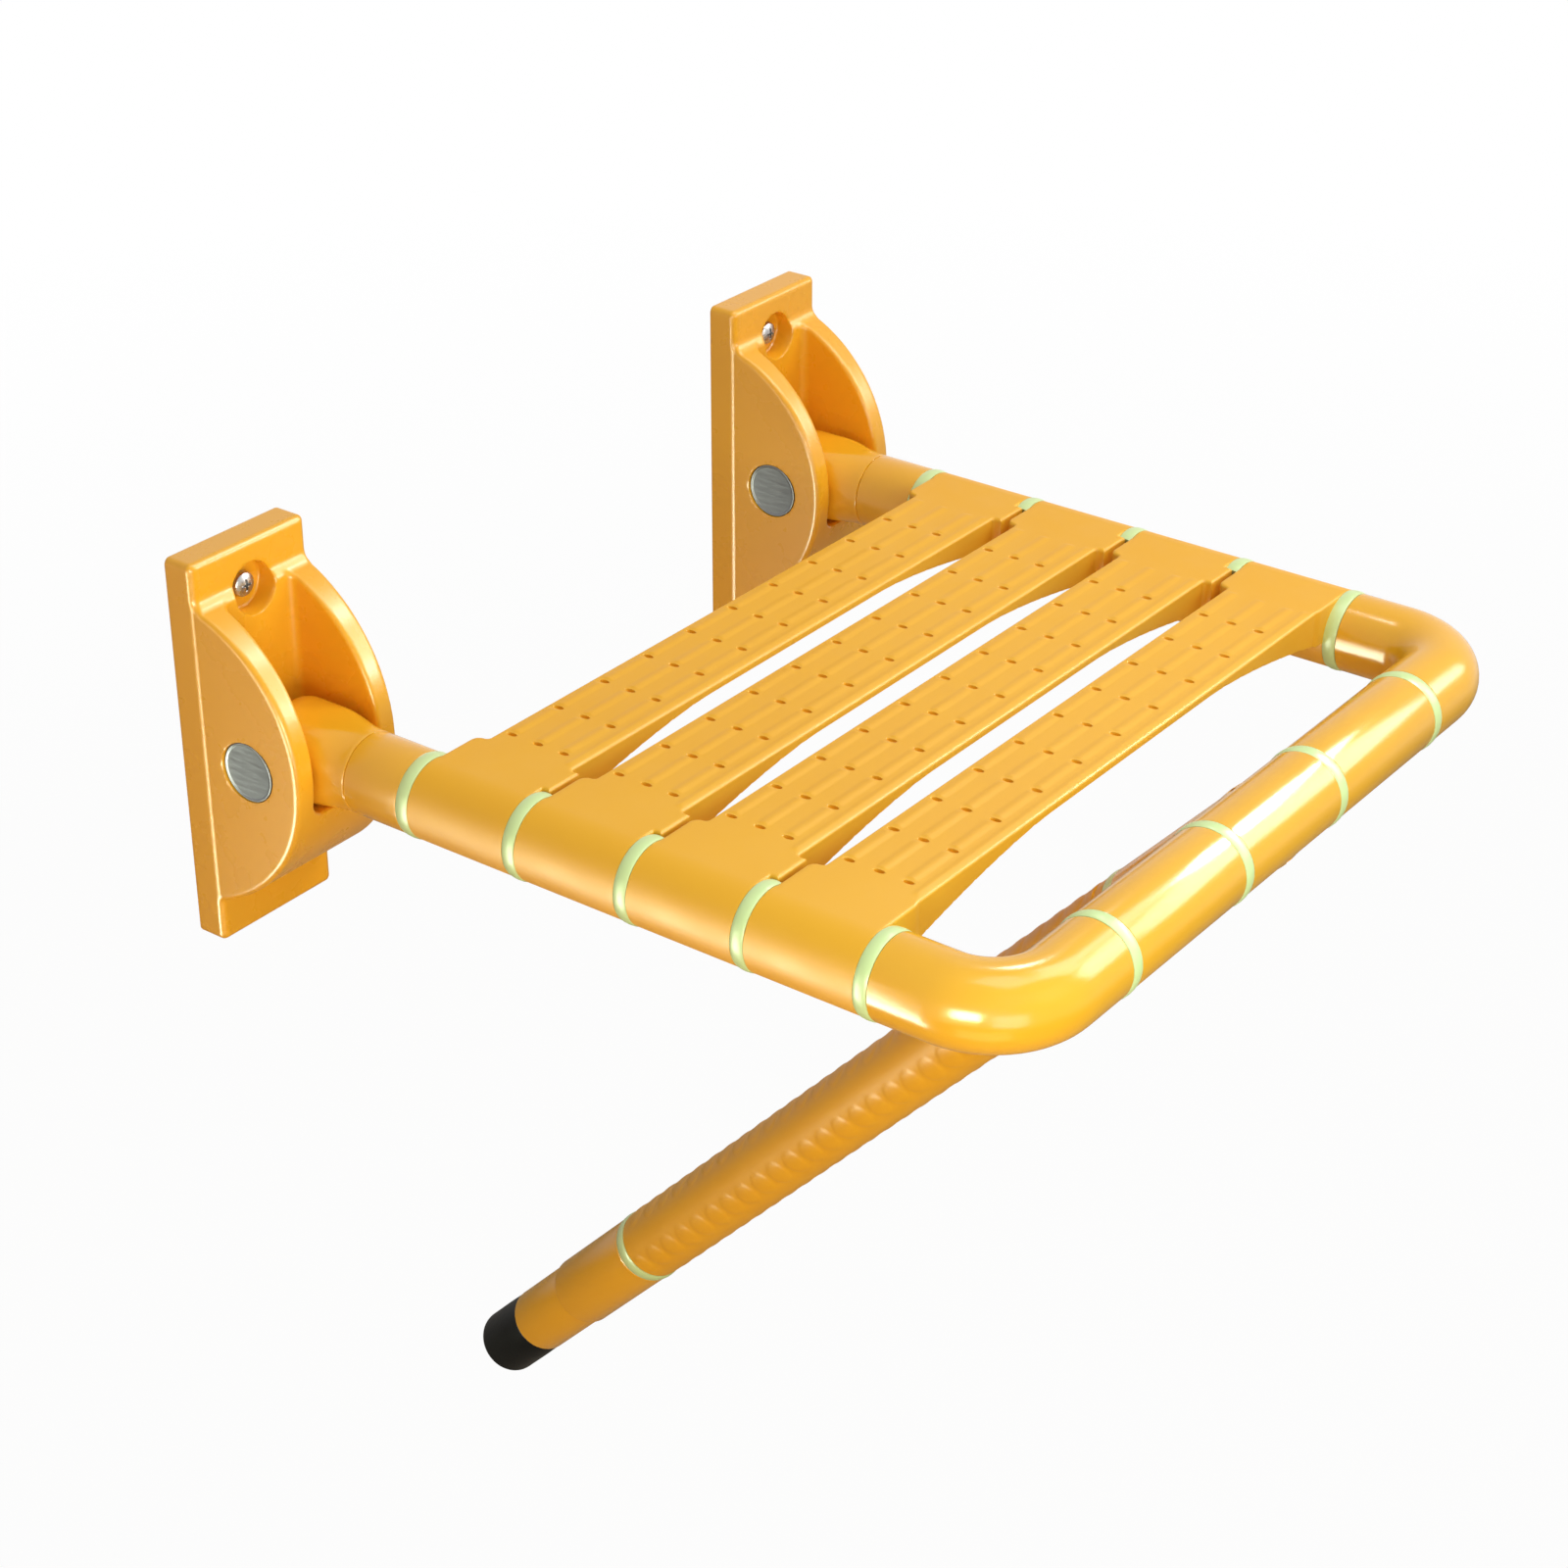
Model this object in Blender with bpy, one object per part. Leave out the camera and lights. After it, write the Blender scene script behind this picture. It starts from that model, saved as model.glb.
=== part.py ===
"""Wall-mounted folding shower seat with one swinging support leg.

Two brackets carry a U-shaped steel tube dressed in nylon sleeves, four moulded slats and pale glow rings.
The seat folds up about the pins in the brackets. The leg turns on the front bar, on a tee sleeve.
Metres, +Z up. The wall is the plane y = 0, the seat reaches towards -Y, and the origin lies midway between the
brackets at the height of the pins. Seat pieces hang on an empty on the pin axis, leg pieces on one on the bar axis.
"""

import math

import bmesh
import bpy
from mathutils import Euler, Matrix, Vector

# Tubes and rings
TUBE_RADIUS = 0.0175
CORE_RADIUS = 0.0125
CORE_WALL = 0.0015
BORE_CLEARANCE = 0.0003
PART_GAP = 0.0003
RING_WIDTH = 0.0055
RING_PROUD = 0.0004
RING_TOP_REACH = math.radians(24.0)
RING_SIDE_GAP = math.radians(2.0)
TUBE_SIDES = 24
RING_SIDES = 18
CORE_SIDES = 12
PIN_SIDES = 16
BEND_STEPS = 6

# Frame layout
ARM_SPACING = 0.3512
PIN_FROM_WALL = 0.0350
BAR_FROM_PIN = 0.3465
BEND_RADIUS = 0.0290
FIRST_RING_FROM_PIN = 0.0713
RING_PITCH = 0.0552
SLAT_COUNT = 4
BAR_RING_INNER = 0.0377
BAR_RING_OUTER = 0.1195

# Wall bracket
PLATE_WIDTH = 0.0644
PLATE_THICKNESS = 0.0143
PLATE_TOP = 0.0856
PLATE_BOTTOM = -0.0866
PLATE_EDGE_ROUND = 0.0028
CHEEK_RADIUS = 0.0705
CHEEK_CENTRE_BEHIND_WALL = 0.0090
CHEEK_TOP_FILLET = 0.0040
CHEEK_BOTTOM_FILLET = 0.0015
CHEEK_INSET = 0.0002
CHEEK_DRAFT = 0.0030
CHEEK_EDGE_ROUND = 0.0016
CHANNEL_SIDE_GAP = 0.0017
CHANNEL_BACK_GAP = 0.0007
CHANNEL_CORNER = 0.0070
CHANNEL_BACK_CORNER = 0.0030
UPPER_SCREW_HEIGHT = 0.0650
LOWER_SCREW_HEIGHT = 0.0
UPPER_WELL_RADIUS = 0.0110
LOWER_WELL_RADIUS = 0.0075
WELL_FLOOR = 0.0070
SCREW_HEAD_RADIUS = 0.0060
SCREW_HEAD_HEIGHT = 0.0044
SCREW_SHANK_RADIUS = 0.0025
SCREW_HOLE_RADIUS = 0.0028

# Pivot
PIN_RADIUS = 0.0060
PIN_CLEARANCE = 0.0002
CAP_RADIUS = 0.0129
CAP_THICKNESS = 0.0020
CAP_SUNK = 0.0004
CAP_RIM = 0.0006
BUSH_WALL = 0.0020
WASHER_RADIUS = 0.0105
KNUCKLE_REACH = 0.0401
KNUCKLE_CORNER = 0.0095
KNUCKLE_CORNER_STEPS = 4
KNUCKLE_SQUARE_END = 0.0180
KNUCKLE_ROUND_START = 0.0350
SOCKET_START = 0.0140

# Slats
SLAT_SETBACK = 0.0086
SLAT_WIDTH = 0.0430
WING_REACH = 0.0256
SLAT_EDGE_DEPTH = 0.0035
SLAT_SKIN = 0.0037
SLAT_WALL = 0.0035
SLAT_EDGE = 0.0010
RIB_SETBACK = 0.0100
RIB_WIDTH = 0.0035
RIB_DEPTH = 0.0085
ARCH_FLAT = 0.0600
ARCH_RISE = 0.0130
ARCH_POWER = 1.6
ARCH_STEPS = 4
WING_DEPTH = 0.0175
WING_TO_AXIS = 0.0076
WING_PAST_RING = 0.0006
JOIN_OVERLAP = 0.0040

# Leg
LEG_ANGLE = math.radians(42.2)
LEG_UPPER_RING = 0.0750
LEG_LOWER_RING = 0.4650
LEG_SLEEVE_LENGTH = 0.0650
LEG_TUBE_START = 0.0200
LEG_EXTENSION_RADIUS = 0.0165
LEG_EXTENSION_LENGTH = 0.0440
FOOT_LENGTH = 0.0375
FOOT_RADIUS = 0.0165
FOOT_EDGE = 0.0022
FOOT_RECESS_RADIUS = 0.0125
FOOT_RECESS_DEPTH = 0.0060
FOOT_BOSS_RADIUS = 0.0055
FOOT_BOSS_SUNK = 0.0025
FOOT_PLUG_LENGTH = 0.0200
TEE_CLEARANCE = 0.0004

# Worked out from the sizes above
HALF_SPACING = ARM_SPACING / 2
SLEEVE_BORE = CORE_RADIUS + BORE_CLEARANCE
RING_RADIUS = TUBE_RADIUS + RING_PROUD
RING_HALF = RING_WIDTH / 2
RING_ROOM = RING_HALF + PART_GAP
CHANNEL_HALF = TUBE_RADIUS + CHANNEL_SIDE_GAP
CHANNEL_FLOOR = -TUBE_RADIUS - PART_GAP
CHANNEL_BACK = PIN_FROM_WALL - TUBE_RADIUS - CHANNEL_BACK_GAP
CHEEK_DEPTH = CHEEK_RADIUS - CHEEK_CENTRE_BEHIND_WALL
SLAT_HALF_SPAN = HALF_SPACING - WING_REACH
LEG_SLEEVE_END = LEG_LOWER_RING + LEG_SLEEVE_LENGTH
FOOT_START = LEG_SLEEVE_END + LEG_EXTENSION_LENGTH
FOOT_END = FOOT_START + FOOT_LENGTH
FAR = 0.2
FLAT_ENOUGH = math.radians(0.03)

UPRIGHT = (0.0, 0.0, 0.0)
ALONG_X = (0.0, math.pi / 2, 0.0)
AGAINST_X = (0.0, -math.pi / 2, 0.0)
ALONG_Y = (-math.pi / 2, 0.0, 0.0)
AGAINST_Y = (math.pi / 2, 0.0, 0.0)
DOWNWARD = (math.pi, 0.0, 0.0)


def clear_scene():
    for obj in list(bpy.data.objects):
        bpy.data.objects.remove(obj, do_unlink=True)


def make_material(name, colour, roughness, metallic=0.0):
    mat = bpy.data.materials.new(name)
    mat.use_nodes = True
    shader = mat.node_tree.nodes["Principled BSDF"]
    shader.inputs["Base Color"].default_value = (*colour, 1.0)
    shader.inputs["Roughness"].default_value = roughness
    shader.inputs["Metallic"].default_value = metallic
    mat.diffuse_color = (*colour, 1.0)
    return mat


def make_empty(name, location, parent=None, tilt=0.0):
    empty = bpy.data.objects.new(name, None)
    empty.location = location
    empty.rotation_euler = (tilt, 0.0, 0.0)
    empty.parent = parent
    bpy.context.collection.objects.link(empty)
    return empty


def finish_mesh(name, bm, smooth=35.0):
    """Turns a bmesh into a mesh with outward faces, smooth over its round stretches."""
    bmesh.ops.remove_doubles(bm, verts=bm.verts, dist=1e-6)
    bmesh.ops.recalc_face_normals(bm, faces=bm.faces)
    mesh = bpy.data.meshes.new(name)
    bm.to_mesh(mesh)
    bm.free()
    mesh.shade_smooth()
    mesh.set_sharp_from_angle(angle=math.radians(smooth))
    return mesh


def place(name, mesh, mat=None, parent=None, location=(0, 0, 0), rotation=UPRIGHT):
    if mat and not mesh.materials:
        mesh.materials.append(mat)
    obj = bpy.data.objects.new(name, mesh)
    obj.location = location
    obj.rotation_euler = rotation
    obj.parent = parent
    bpy.context.collection.objects.link(obj)
    return obj


def combined(name, base, steps, merge_flats=True):
    """Joins or cuts the base shape with each step's shape in turn and gives back the finished mesh."""
    obj = place("work_" + name, finish_mesh("work_" + name, base))
    tools = []
    for index, (operation, shape) in enumerate(steps):
        tool = place(f"tool_{index}_{name}", finish_mesh(f"tool_{index}_{name}", shape))
        tool.hide_render = True
        tool.display_type = "WIRE"
        modifier = obj.modifiers.new(f"step_{index}", "BOOLEAN")
        modifier.operation = operation
        modifier.object = tool
        modifier.solver = "EXACT"
        tools.append(tool)
    graph = bpy.context.evaluated_depsgraph_get()
    bm = bmesh.new()
    bm.from_object(obj, graph)
    for old in (obj, *tools):
        mesh = old.data
        bpy.data.objects.remove(old, do_unlink=True)
        bpy.data.meshes.remove(mesh)
    bmesh.ops.remove_doubles(bm, verts=bm.verts, dist=1e-5)
    bmesh.ops.dissolve_degenerate(bm, edges=bm.edges, dist=1e-6)
    if merge_flats:
        bmesh.ops.dissolve_limit(bm, angle_limit=FLAT_ENOUGH, verts=bm.verts, edges=bm.edges)
    return finish_mesh(name, bm)


def moved(bm, rotation=UPRIGHT, location=(0.0, 0.0, 0.0)):
    matrix = Matrix.Translation(location) @ Euler(rotation).to_matrix().to_4x4()
    bmesh.ops.transform(bm, matrix=matrix, verts=bm.verts)
    return bm


def revolve(profile, sides=TUBE_SIDES, start=0.0, sweep=2 * math.pi):
    """Turns a closed (radius, height) outline about Z. A partial sweep gets flat ends."""
    bm = bmesh.new()
    full = abs(sweep) > 2 * math.pi - 1e-6
    stations = sides if full else sides + 1
    columns = []
    for radius, height in profile:
        if radius < 1e-9:
            columns.append([bm.verts.new((0.0, 0.0, height))] * stations)
            continue
        column = []
        for i in range(stations):
            angle = start + sweep * i / sides
            column.append(bm.verts.new((radius * math.cos(angle), radius * math.sin(angle), height)))
        columns.append(column)
    for a, b in zip(columns, columns[1:] + columns[:1]):
        for i in range(sides):
            j = (i + 1) % stations
            corners = []
            for vertex in (a[i], a[j], b[j], b[i]):
                if vertex not in corners:
                    corners.append(vertex)
            if len(corners) > 2:
                bm.faces.new(corners)
    if not full:
        bm.faces.new([column[0] for column in columns])
        bm.faces.new([column[-1] for column in columns])
    return bm


def tube(outer, inner, low, high, sides=TUBE_SIDES, edge=0.0):
    """A straight tube on the Z axis, with its outer end edges chamfered if asked."""
    profile = [(inner, low), (outer - edge, low), (outer, low + edge),
               (outer, high - edge), (outer - edge, high), (inner, high)]
    if edge <= 0:
        profile = [(inner, low), (outer, low), (outer, high), (inner, high)]
    return revolve(profile, sides)


def rod(radius, low, high, sides=TUBE_SIDES):
    return revolve([(0.0, low), (radius, low), (radius, high), (0.0, high)], sides)


def lofted(loops):
    """A solid through loops of points that match one to one."""
    bm = bmesh.new()
    rows = [[bm.verts.new(point) for point in loop] for loop in loops]
    for a, b in zip(rows, rows[1:]):
        for i in range(len(a)):
            j = (i + 1) % len(a)
            bm.faces.new((a[i], a[j], b[j], b[i]))
    bm.faces.new(rows[0])
    bm.faces.new(rows[-1])
    return bm


def prism(outline, ends, shape):
    """A solid through the same outline at each end value: shape(u, v, end) gives each point."""
    return lofted([[shape(u, v, end) for u, v in outline] for end in ends])


def arc(centre, radius, start, end, steps):
    points = []
    for i in range(steps + 1):
        angle = start + (end - start) * i / steps
        points.append((centre[0] + radius * math.cos(angle), centre[1] + radius * math.sin(angle)))
    return points


def box(low, high):
    bm = bmesh.new()
    bmesh.ops.create_cube(bm, size=1.0)
    for vertex in bm.verts:
        for i in range(3):
            vertex.co[i] = high[i] if vertex.co[i] > 0 else low[i]
    return bm


def round_edges(bm, test, width, segments=3):
    """Rounds the edges whose middle and direction pass the test."""
    chosen = []
    for edge in bm.edges:
        middle = (edge.verts[0].co + edge.verts[1].co) / 2
        direction = (edge.verts[1].co - edge.verts[0].co).normalized()
        if test(middle, direction):
            chosen.append(edge)
    bmesh.ops.bevel(bm, geom=chosen, offset=width, segments=segments, profile=0.5, affect="EDGES")


# Wall bracket

def plate_shape():
    half = PLATE_WIDTH / 2
    bm = box((-half, -PLATE_THICKNESS, PLATE_BOTTOM), (half, 0.0, PLATE_TOP))
    round_edges(bm, lambda middle, direction: middle.y < -PLATE_THICKNESS + 1e-6, PLATE_EDGE_ROUND, 2)
    return bm


def fillet_place(size):
    """Centre of the fillet between plate and cheek, and the angle at which it meets the cheek's round."""
    across = CHEEK_CENTRE_BEHIND_WALL + PLATE_THICKNESS + size
    reach = CHEEK_RADIUS + size
    height = math.sqrt(reach * reach - across * across)
    return (-PLATE_THICKNESS - size, height), math.atan2(height, -across)


def cheek_outline(root):
    """The side outline of the bracket's body in (y, z), from its root inside the plate."""
    top, top_angle = fillet_place(CHEEK_TOP_FILLET)
    low, low_angle = fillet_place(CHEEK_BOTTOM_FILLET)
    outline = [(-root, top[1])]
    outline += arc(top, CHEEK_TOP_FILLET, 0.0, top_angle - math.pi, 3)
    outline += arc((CHEEK_CENTRE_BEHIND_WALL, 0.0), CHEEK_RADIUS, top_angle, 2 * math.pi - low_angle, 18)[1:]
    lower = arc(low, CHEEK_BOTTOM_FILLET, 0.0, low_angle - math.pi, 2)
    outline += [(y, -z) for y, z in reversed(lower[:-1])]
    outline.append((-root, -low[1]))
    return outline


def cheek_half_width(y):
    """Half the body's width at a depth y: it narrows a little from the plate to the front."""
    share = max(0.0, -y - PLATE_THICKNESS) / (CHEEK_DEPTH - PLATE_THICKNESS)
    return PLATE_WIDTH / 2 - CHEEK_INSET - CHEEK_DRAFT * share


def cheek_shape():
    root = PLATE_THICKNESS - PLATE_EDGE_ROUND - CHEEK_EDGE_ROUND
    bm = prism(cheek_outline(root), (-1, 1), lambda y, z, side: (side * cheek_half_width(y), y, z))

    def on_rim(middle, direction):
        return abs(direction.x) < 0.5 and middle.y < -PLATE_THICKNESS - CHEEK_TOP_FILLET

    round_edges(bm, on_rim, CHEEK_EDGE_ROUND, 1)
    return bm


def channel_shape():
    """The slot in which the arm's knuckle swings, open to the front and the top."""
    bm = box((-CHANNEL_HALF, -FAR, CHANNEL_FLOOR), (CHANNEL_HALF, -CHANNEL_BACK, FAR))

    def floor_corner(middle, direction):
        return abs(direction.y) > 0.5 and middle.z < CHANNEL_FLOOR + 1e-6

    def back_corner(middle, direction):
        return abs(direction.z) > 0.5 and middle.y > -CHANNEL_BACK - 1e-6

    round_edges(bm, floor_corner, CHANNEL_CORNER, 3)
    round_edges(bm, back_corner, CHANNEL_BACK_CORNER, 2)
    return bm


def cap_seat():
    """Distance from the bracket's middle to the inner face of a pin cap."""
    return cheek_half_width(-PIN_FROM_WALL) - CAP_SUNK - CAP_THICKNESS


def bracket_mesh():
    pin_place = (0.0, -PIN_FROM_WALL, 0.0)
    steps = [("UNION", cheek_shape()), ("DIFFERENCE", channel_shape())]
    wells = ((UPPER_SCREW_HEIGHT, UPPER_WELL_RADIUS), (LOWER_SCREW_HEIGHT, LOWER_WELL_RADIUS))
    for height, radius in wells:
        stepped = [(0.0, -FAR), (SCREW_HOLE_RADIUS, -FAR), (SCREW_HOLE_RADIUS, WELL_FLOOR), (radius, WELL_FLOOR),
                   (radius, FAR), (0.0, FAR)]
        steps.append(("DIFFERENCE", moved(revolve(stepped, RING_SIDES), AGAINST_Y, (0.0, 0.0, height))))
    bore = rod(PIN_RADIUS + PIN_CLEARANCE, -FAR, FAR, PIN_SIDES)
    steps.append(("DIFFERENCE", moved(bore, ALONG_X, pin_place)))
    for turn in (ALONG_X, AGAINST_X):
        recess = rod(CAP_RADIUS + PART_GAP, cap_seat() - PART_GAP, FAR, RING_SIDES)
        steps.append(("DIFFERENCE", moved(recess, turn, pin_place)))
    return combined("bracket", plate_shape(), steps, merge_flats=False)


def screw_mesh():
    """A pan-head wall screw, ending level with the back of the plate."""
    seat = WELL_FLOOR + PART_GAP
    top = seat + SCREW_HEAD_HEIGHT
    edge = SCREW_HEAD_HEIGHT / 3
    profile = [(0.0, PART_GAP), (SCREW_SHANK_RADIUS, PART_GAP), (SCREW_SHANK_RADIUS, seat),
               (SCREW_HEAD_RADIUS, seat), (SCREW_HEAD_RADIUS, seat + edge),
               (SCREW_HEAD_RADIUS - edge, top - edge / 3), (SCREW_HEAD_RADIUS / 2, top), (0.0, top)]
    return finish_mesh("wall_screw", revolve(profile, CORE_SIDES))


def cap_mesh():
    """A pin cap: a disc with a thin raised rim."""
    face = cap_seat()
    top = face + CAP_THICKNESS
    profile = [(0.0, face), (CAP_RADIUS, face), (CAP_RADIUS, top), (CAP_RADIUS - CAP_RIM, top),
               (CAP_RADIUS - 2 * CAP_RIM, top - CAP_RIM), (0.0, top - CAP_RIM)]
    return finish_mesh("pin_cap", revolve(profile, RING_SIDES))


def build_wall_pieces(mats):
    bracket = bracket_mesh()
    screw = screw_mesh()
    cap = cap_mesh()
    washer = finish_mesh("thrust_washer", tube(WASHER_RADIUS, PIN_RADIUS + PIN_CLEARANCE,
                                               TUBE_RADIUS + PART_GAP, CHANNEL_HALF - PART_GAP, PIN_SIDES))
    half = cap_seat() - PART_GAP
    pin = finish_mesh("pivot_pin", rod(PIN_RADIUS, -half, half, PIN_SIDES))
    for side, x in (("left", -HALF_SPACING), ("right", HALF_SPACING)):
        place("bracket_" + side, bracket, mats["nylon"], None, (x, 0.0, 0.0))
        place("wall_screw_upper_" + side, screw, mats["steel"], None, (x, 0.0, UPPER_SCREW_HEIGHT), AGAINST_Y)
        place("wall_screw_lower_" + side, screw, mats["steel"], None, (x, 0.0, LOWER_SCREW_HEIGHT), AGAINST_Y)
        pin_place = (x, -PIN_FROM_WALL, 0.0)
        place("pivot_pin_" + side, pin, mats["steel"], None, pin_place, ALONG_X)
        outward = AGAINST_X if x < 0 else ALONG_X
        inward = ALONG_X if x < 0 else AGAINST_X
        for end, turn in (("outer", outward), ("inner", inward)):
            place(f"pin_cap_{end}_{side}", cap, mats["cap"], None, pin_place, turn)
            place(f"thrust_washer_{end}_{side}", washer, mats["liner"], None, pin_place, turn)


# Seat frame

def rounded_square(half, corner):
    """A square's outline with round corners, or a circle where the corner is as large as the half."""
    points = []
    inner = half - corner
    for quarter, (across, up) in enumerate(((1, 1), (-1, 1), (-1, -1), (1, -1))):
        start = quarter * math.pi / 2
        points += arc((across * inner, up * inner), corner, start, start + math.pi / 2, KNUCKLE_CORNER_STEPS)
    return points


def knuckle_mesh():
    """The arm's end block: square at the pin, easing into the tube's round, turned about the pin at its rear."""
    sections = ((0.0, KNUCKLE_CORNER), (KNUCKLE_SQUARE_END, KNUCKLE_CORNER), (KNUCKLE_ROUND_START, TUBE_RADIUS),
                (KNUCKLE_REACH, TUBE_RADIUS))
    body = lofted([[(u, -reach, v) for u, v in rounded_square(TUBE_RADIUS, corner)] for reach, corner in sections])
    flat = TUBE_RADIUS - KNUCKLE_CORNER
    profile = [(0.0, -TUBE_RADIUS), *arc((flat, -flat), KNUCKLE_CORNER, -math.pi / 2, 0.0, KNUCKLE_CORNER_STEPS)]
    profile += [*arc((flat, flat), KNUCKLE_CORNER, 0.0, math.pi / 2, KNUCKLE_CORNER_STEPS), (0.0, TUBE_RADIUS)]
    nose = moved(revolve(profile), ALONG_X)
    bore = moved(rod(PIN_RADIUS + PIN_CLEARANCE + BUSH_WALL + PIN_CLEARANCE, -FAR, FAR, PIN_SIDES), ALONG_X)
    socket = moved(rod(SLEEVE_BORE, SOCKET_START - PART_GAP, FAR, PIN_SIDES), AGAINST_Y)
    steps = [("UNION", nose), ("DIFFERENCE", bore), ("DIFFERENCE", socket)]
    return combined("knuckle", body, steps)


def side_path(start, end):
    """Points and directions from a place on the left arm round the corner to a place on the bar."""
    centre = (-HALF_SPACING + BEND_RADIUS, -BAR_FROM_PIN + BEND_RADIUS)
    path = [((-HALF_SPACING, -start), (0.0, -1.0))]
    for i in range(BEND_STEPS + 1):
        angle = math.pi + math.pi / 2 * i / BEND_STEPS
        point = (centre[0] + BEND_RADIUS * math.cos(angle), centre[1] + BEND_RADIUS * math.sin(angle))
        path.append((point, (-math.sin(angle), math.cos(angle))))
    path.append(((-end, -BAR_FROM_PIN), (1.0, 0.0)))
    return path


def mirrored(path):
    """The same path on the right side, run the other way so that it can follow on from the left one."""
    return [((-x, y), (dx, -dy)) for (x, y), (dx, dy) in reversed(path)]


def swept_tube(path, outer, inner, sides):
    """A tube with a real bore along a path in the seat's plane."""
    bm = bmesh.new()
    skins = []
    for radius in (outer, inner):
        skin = []
        for (x, y), (dx, dy) in path:
            across = Vector((dy, -dx, 0.0))
            loop = []
            for i in range(sides):
                angle = 2 * math.pi * i / sides
                offset = radius * math.cos(angle) * across + Vector((0.0, 0.0, radius * math.sin(angle)))
                loop.append(bm.verts.new(Vector((x, y, 0.0)) + offset))
            skin.append(loop)
        skins.append(skin)
    strips = [pair for skin in skins for pair in zip(skin, skin[1:])]
    strips += [(skins[0][0], skins[1][0]), (skins[0][-1], skins[1][-1])]
    for a, b in strips:
        for i in range(sides):
            j = (i + 1) % sides
            bm.faces.new((a[i], a[j], b[j], b[i]))
    return bm


def ring_distance(index):
    """Distance of an arm's ring from the pins, counted from 0 at the rear."""
    return FIRST_RING_FROM_PIN + index * RING_PITCH


def open_ring_shape(sign):
    """A ring between two slats: open from the top to the inner side, where the slats' flat wings meet."""
    profile = [(SLEEVE_BORE, -RING_HALF), (RING_RADIUS, -RING_HALF), (RING_RADIUS, RING_HALF),
               (SLEEVE_BORE, RING_HALF)]
    start = -math.pi / 2 - sign * RING_TOP_REACH
    sweep = sign * (1.5 * math.pi + RING_TOP_REACH - RING_SIDE_GAP)
    return revolve(profile, RING_SIDES, start, sweep)


def build_rings(mat, seat_pivot):
    whole = finish_mesh("glow_ring", tube(RING_RADIUS, SLEEVE_BORE, -RING_HALF, RING_HALF, RING_SIDES))
    for side, sign in (("left", -1), ("right", 1)):
        partial = finish_mesh("glow_ring_open_" + side, open_ring_shape(sign))
        for index in range(SLAT_COUNT + 1):
            mesh = partial if 0 < index < SLAT_COUNT else whole
            location = (sign * HALF_SPACING, -ring_distance(index), 0.0)
            place(f"glow_ring_{side}_{index + 1}", mesh, mat, seat_pivot, location, ALONG_Y)
    stations = (-BAR_RING_OUTER, -BAR_RING_INNER, BAR_RING_INNER, BAR_RING_OUTER)
    for index, x in enumerate(stations):
        place(f"bar_ring_{index + 1}", whole, mat, seat_pivot, (x, -BAR_FROM_PIN, 0.0), ALONG_X)


def build_frame(mats, seat_pivot):
    left = side_path(SOCKET_START, BAR_RING_OUTER)
    core = swept_tube(left[:-1] + mirrored(left)[1:], CORE_RADIUS, CORE_RADIUS - CORE_WALL, CORE_SIDES)
    place("frame_tube", finish_mesh("frame_tube", core), mats["steel"], seat_pivot)
    corner = side_path(ring_distance(SLAT_COUNT) + RING_ROOM, BAR_RING_OUTER + RING_ROOM)
    rear = tube(TUBE_RADIUS, SLEEVE_BORE, KNUCKLE_REACH + PART_GAP, ring_distance(0) - RING_ROOM)
    rear_mesh = finish_mesh("rear_sleeve", rear)
    knuckle = knuckle_mesh()
    bush_wall = PIN_RADIUS + PIN_CLEARANCE + BUSH_WALL
    bush = finish_mesh("pivot_bush", tube(bush_wall, PIN_RADIUS + PIN_CLEARANCE, -TUBE_RADIUS, TUBE_RADIUS, PIN_SIDES))
    bar = finish_mesh("bar_sleeve", tube(TUBE_RADIUS, SLEEVE_BORE, BAR_RING_INNER + RING_ROOM,
                                         BAR_RING_OUTER - RING_ROOM))
    for side, sign, path in (("left", -1, corner), ("right", 1, mirrored(corner))):
        x = sign * HALF_SPACING
        bend = swept_tube(path, TUBE_RADIUS, SLEEVE_BORE, TUBE_SIDES)
        place("corner_sleeve_" + side, finish_mesh("corner_sleeve_" + side, bend), mats["nylon"], seat_pivot)
        place("rear_sleeve_" + side, rear_mesh, mats["nylon"], seat_pivot, (x, 0.0, 0.0), AGAINST_Y)
        place("knuckle_" + side, knuckle, mats["nylon"], seat_pivot, (x, 0.0, 0.0))
        place("pivot_bush_" + side, bush, mats["liner"], seat_pivot, (x, 0.0, 0.0), ALONG_X)
        turn = AGAINST_X if sign < 0 else ALONG_X
        place("bar_sleeve_" + side, bar, mats["nylon"], seat_pivot, (0.0, -BAR_FROM_PIN, 0.0), turn)


# Slats

def arch_height(x):
    """Height of the slat wall's lower edge, flat in the middle and dropping towards the hubs."""
    share = max(0.0, min(abs(x), SLAT_HALF_SPAN) - ARCH_FLAT) / (SLAT_HALF_SPAN - ARCH_FLAT)
    return TUBE_RADIUS - SLAT_EDGE_DEPTH - ARCH_RISE * share ** ARCH_POWER


def slat_body_shape():
    reach = SLAT_HALF_SPAN + JOIN_OVERLAP
    steps = [ARCH_FLAT + (SLAT_HALF_SPAN - ARCH_FLAT) * i / ARCH_STEPS for i in range(ARCH_STEPS + 1)]
    stations = [reach, *reversed(steps)]
    lower = [(x, arch_height(x)) for x in stations] + [(-x, arch_height(x)) for x in reversed(stations)]
    outline = [(-reach, TUBE_RADIUS), (reach, TUBE_RADIUS), *lower]
    rear = -SLAT_SETBACK
    front = rear - SLAT_WIDTH

    def edged(x, z, y):
        at_edge = y in (rear, front)
        top = TUBE_RADIUS - SLAT_EDGE if at_edge else TUBE_RADIUS
        return (x, y, min(z, top))

    return prism(outline, (rear, rear - SLAT_EDGE, front + SLAT_EDGE, front), edged)


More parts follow.
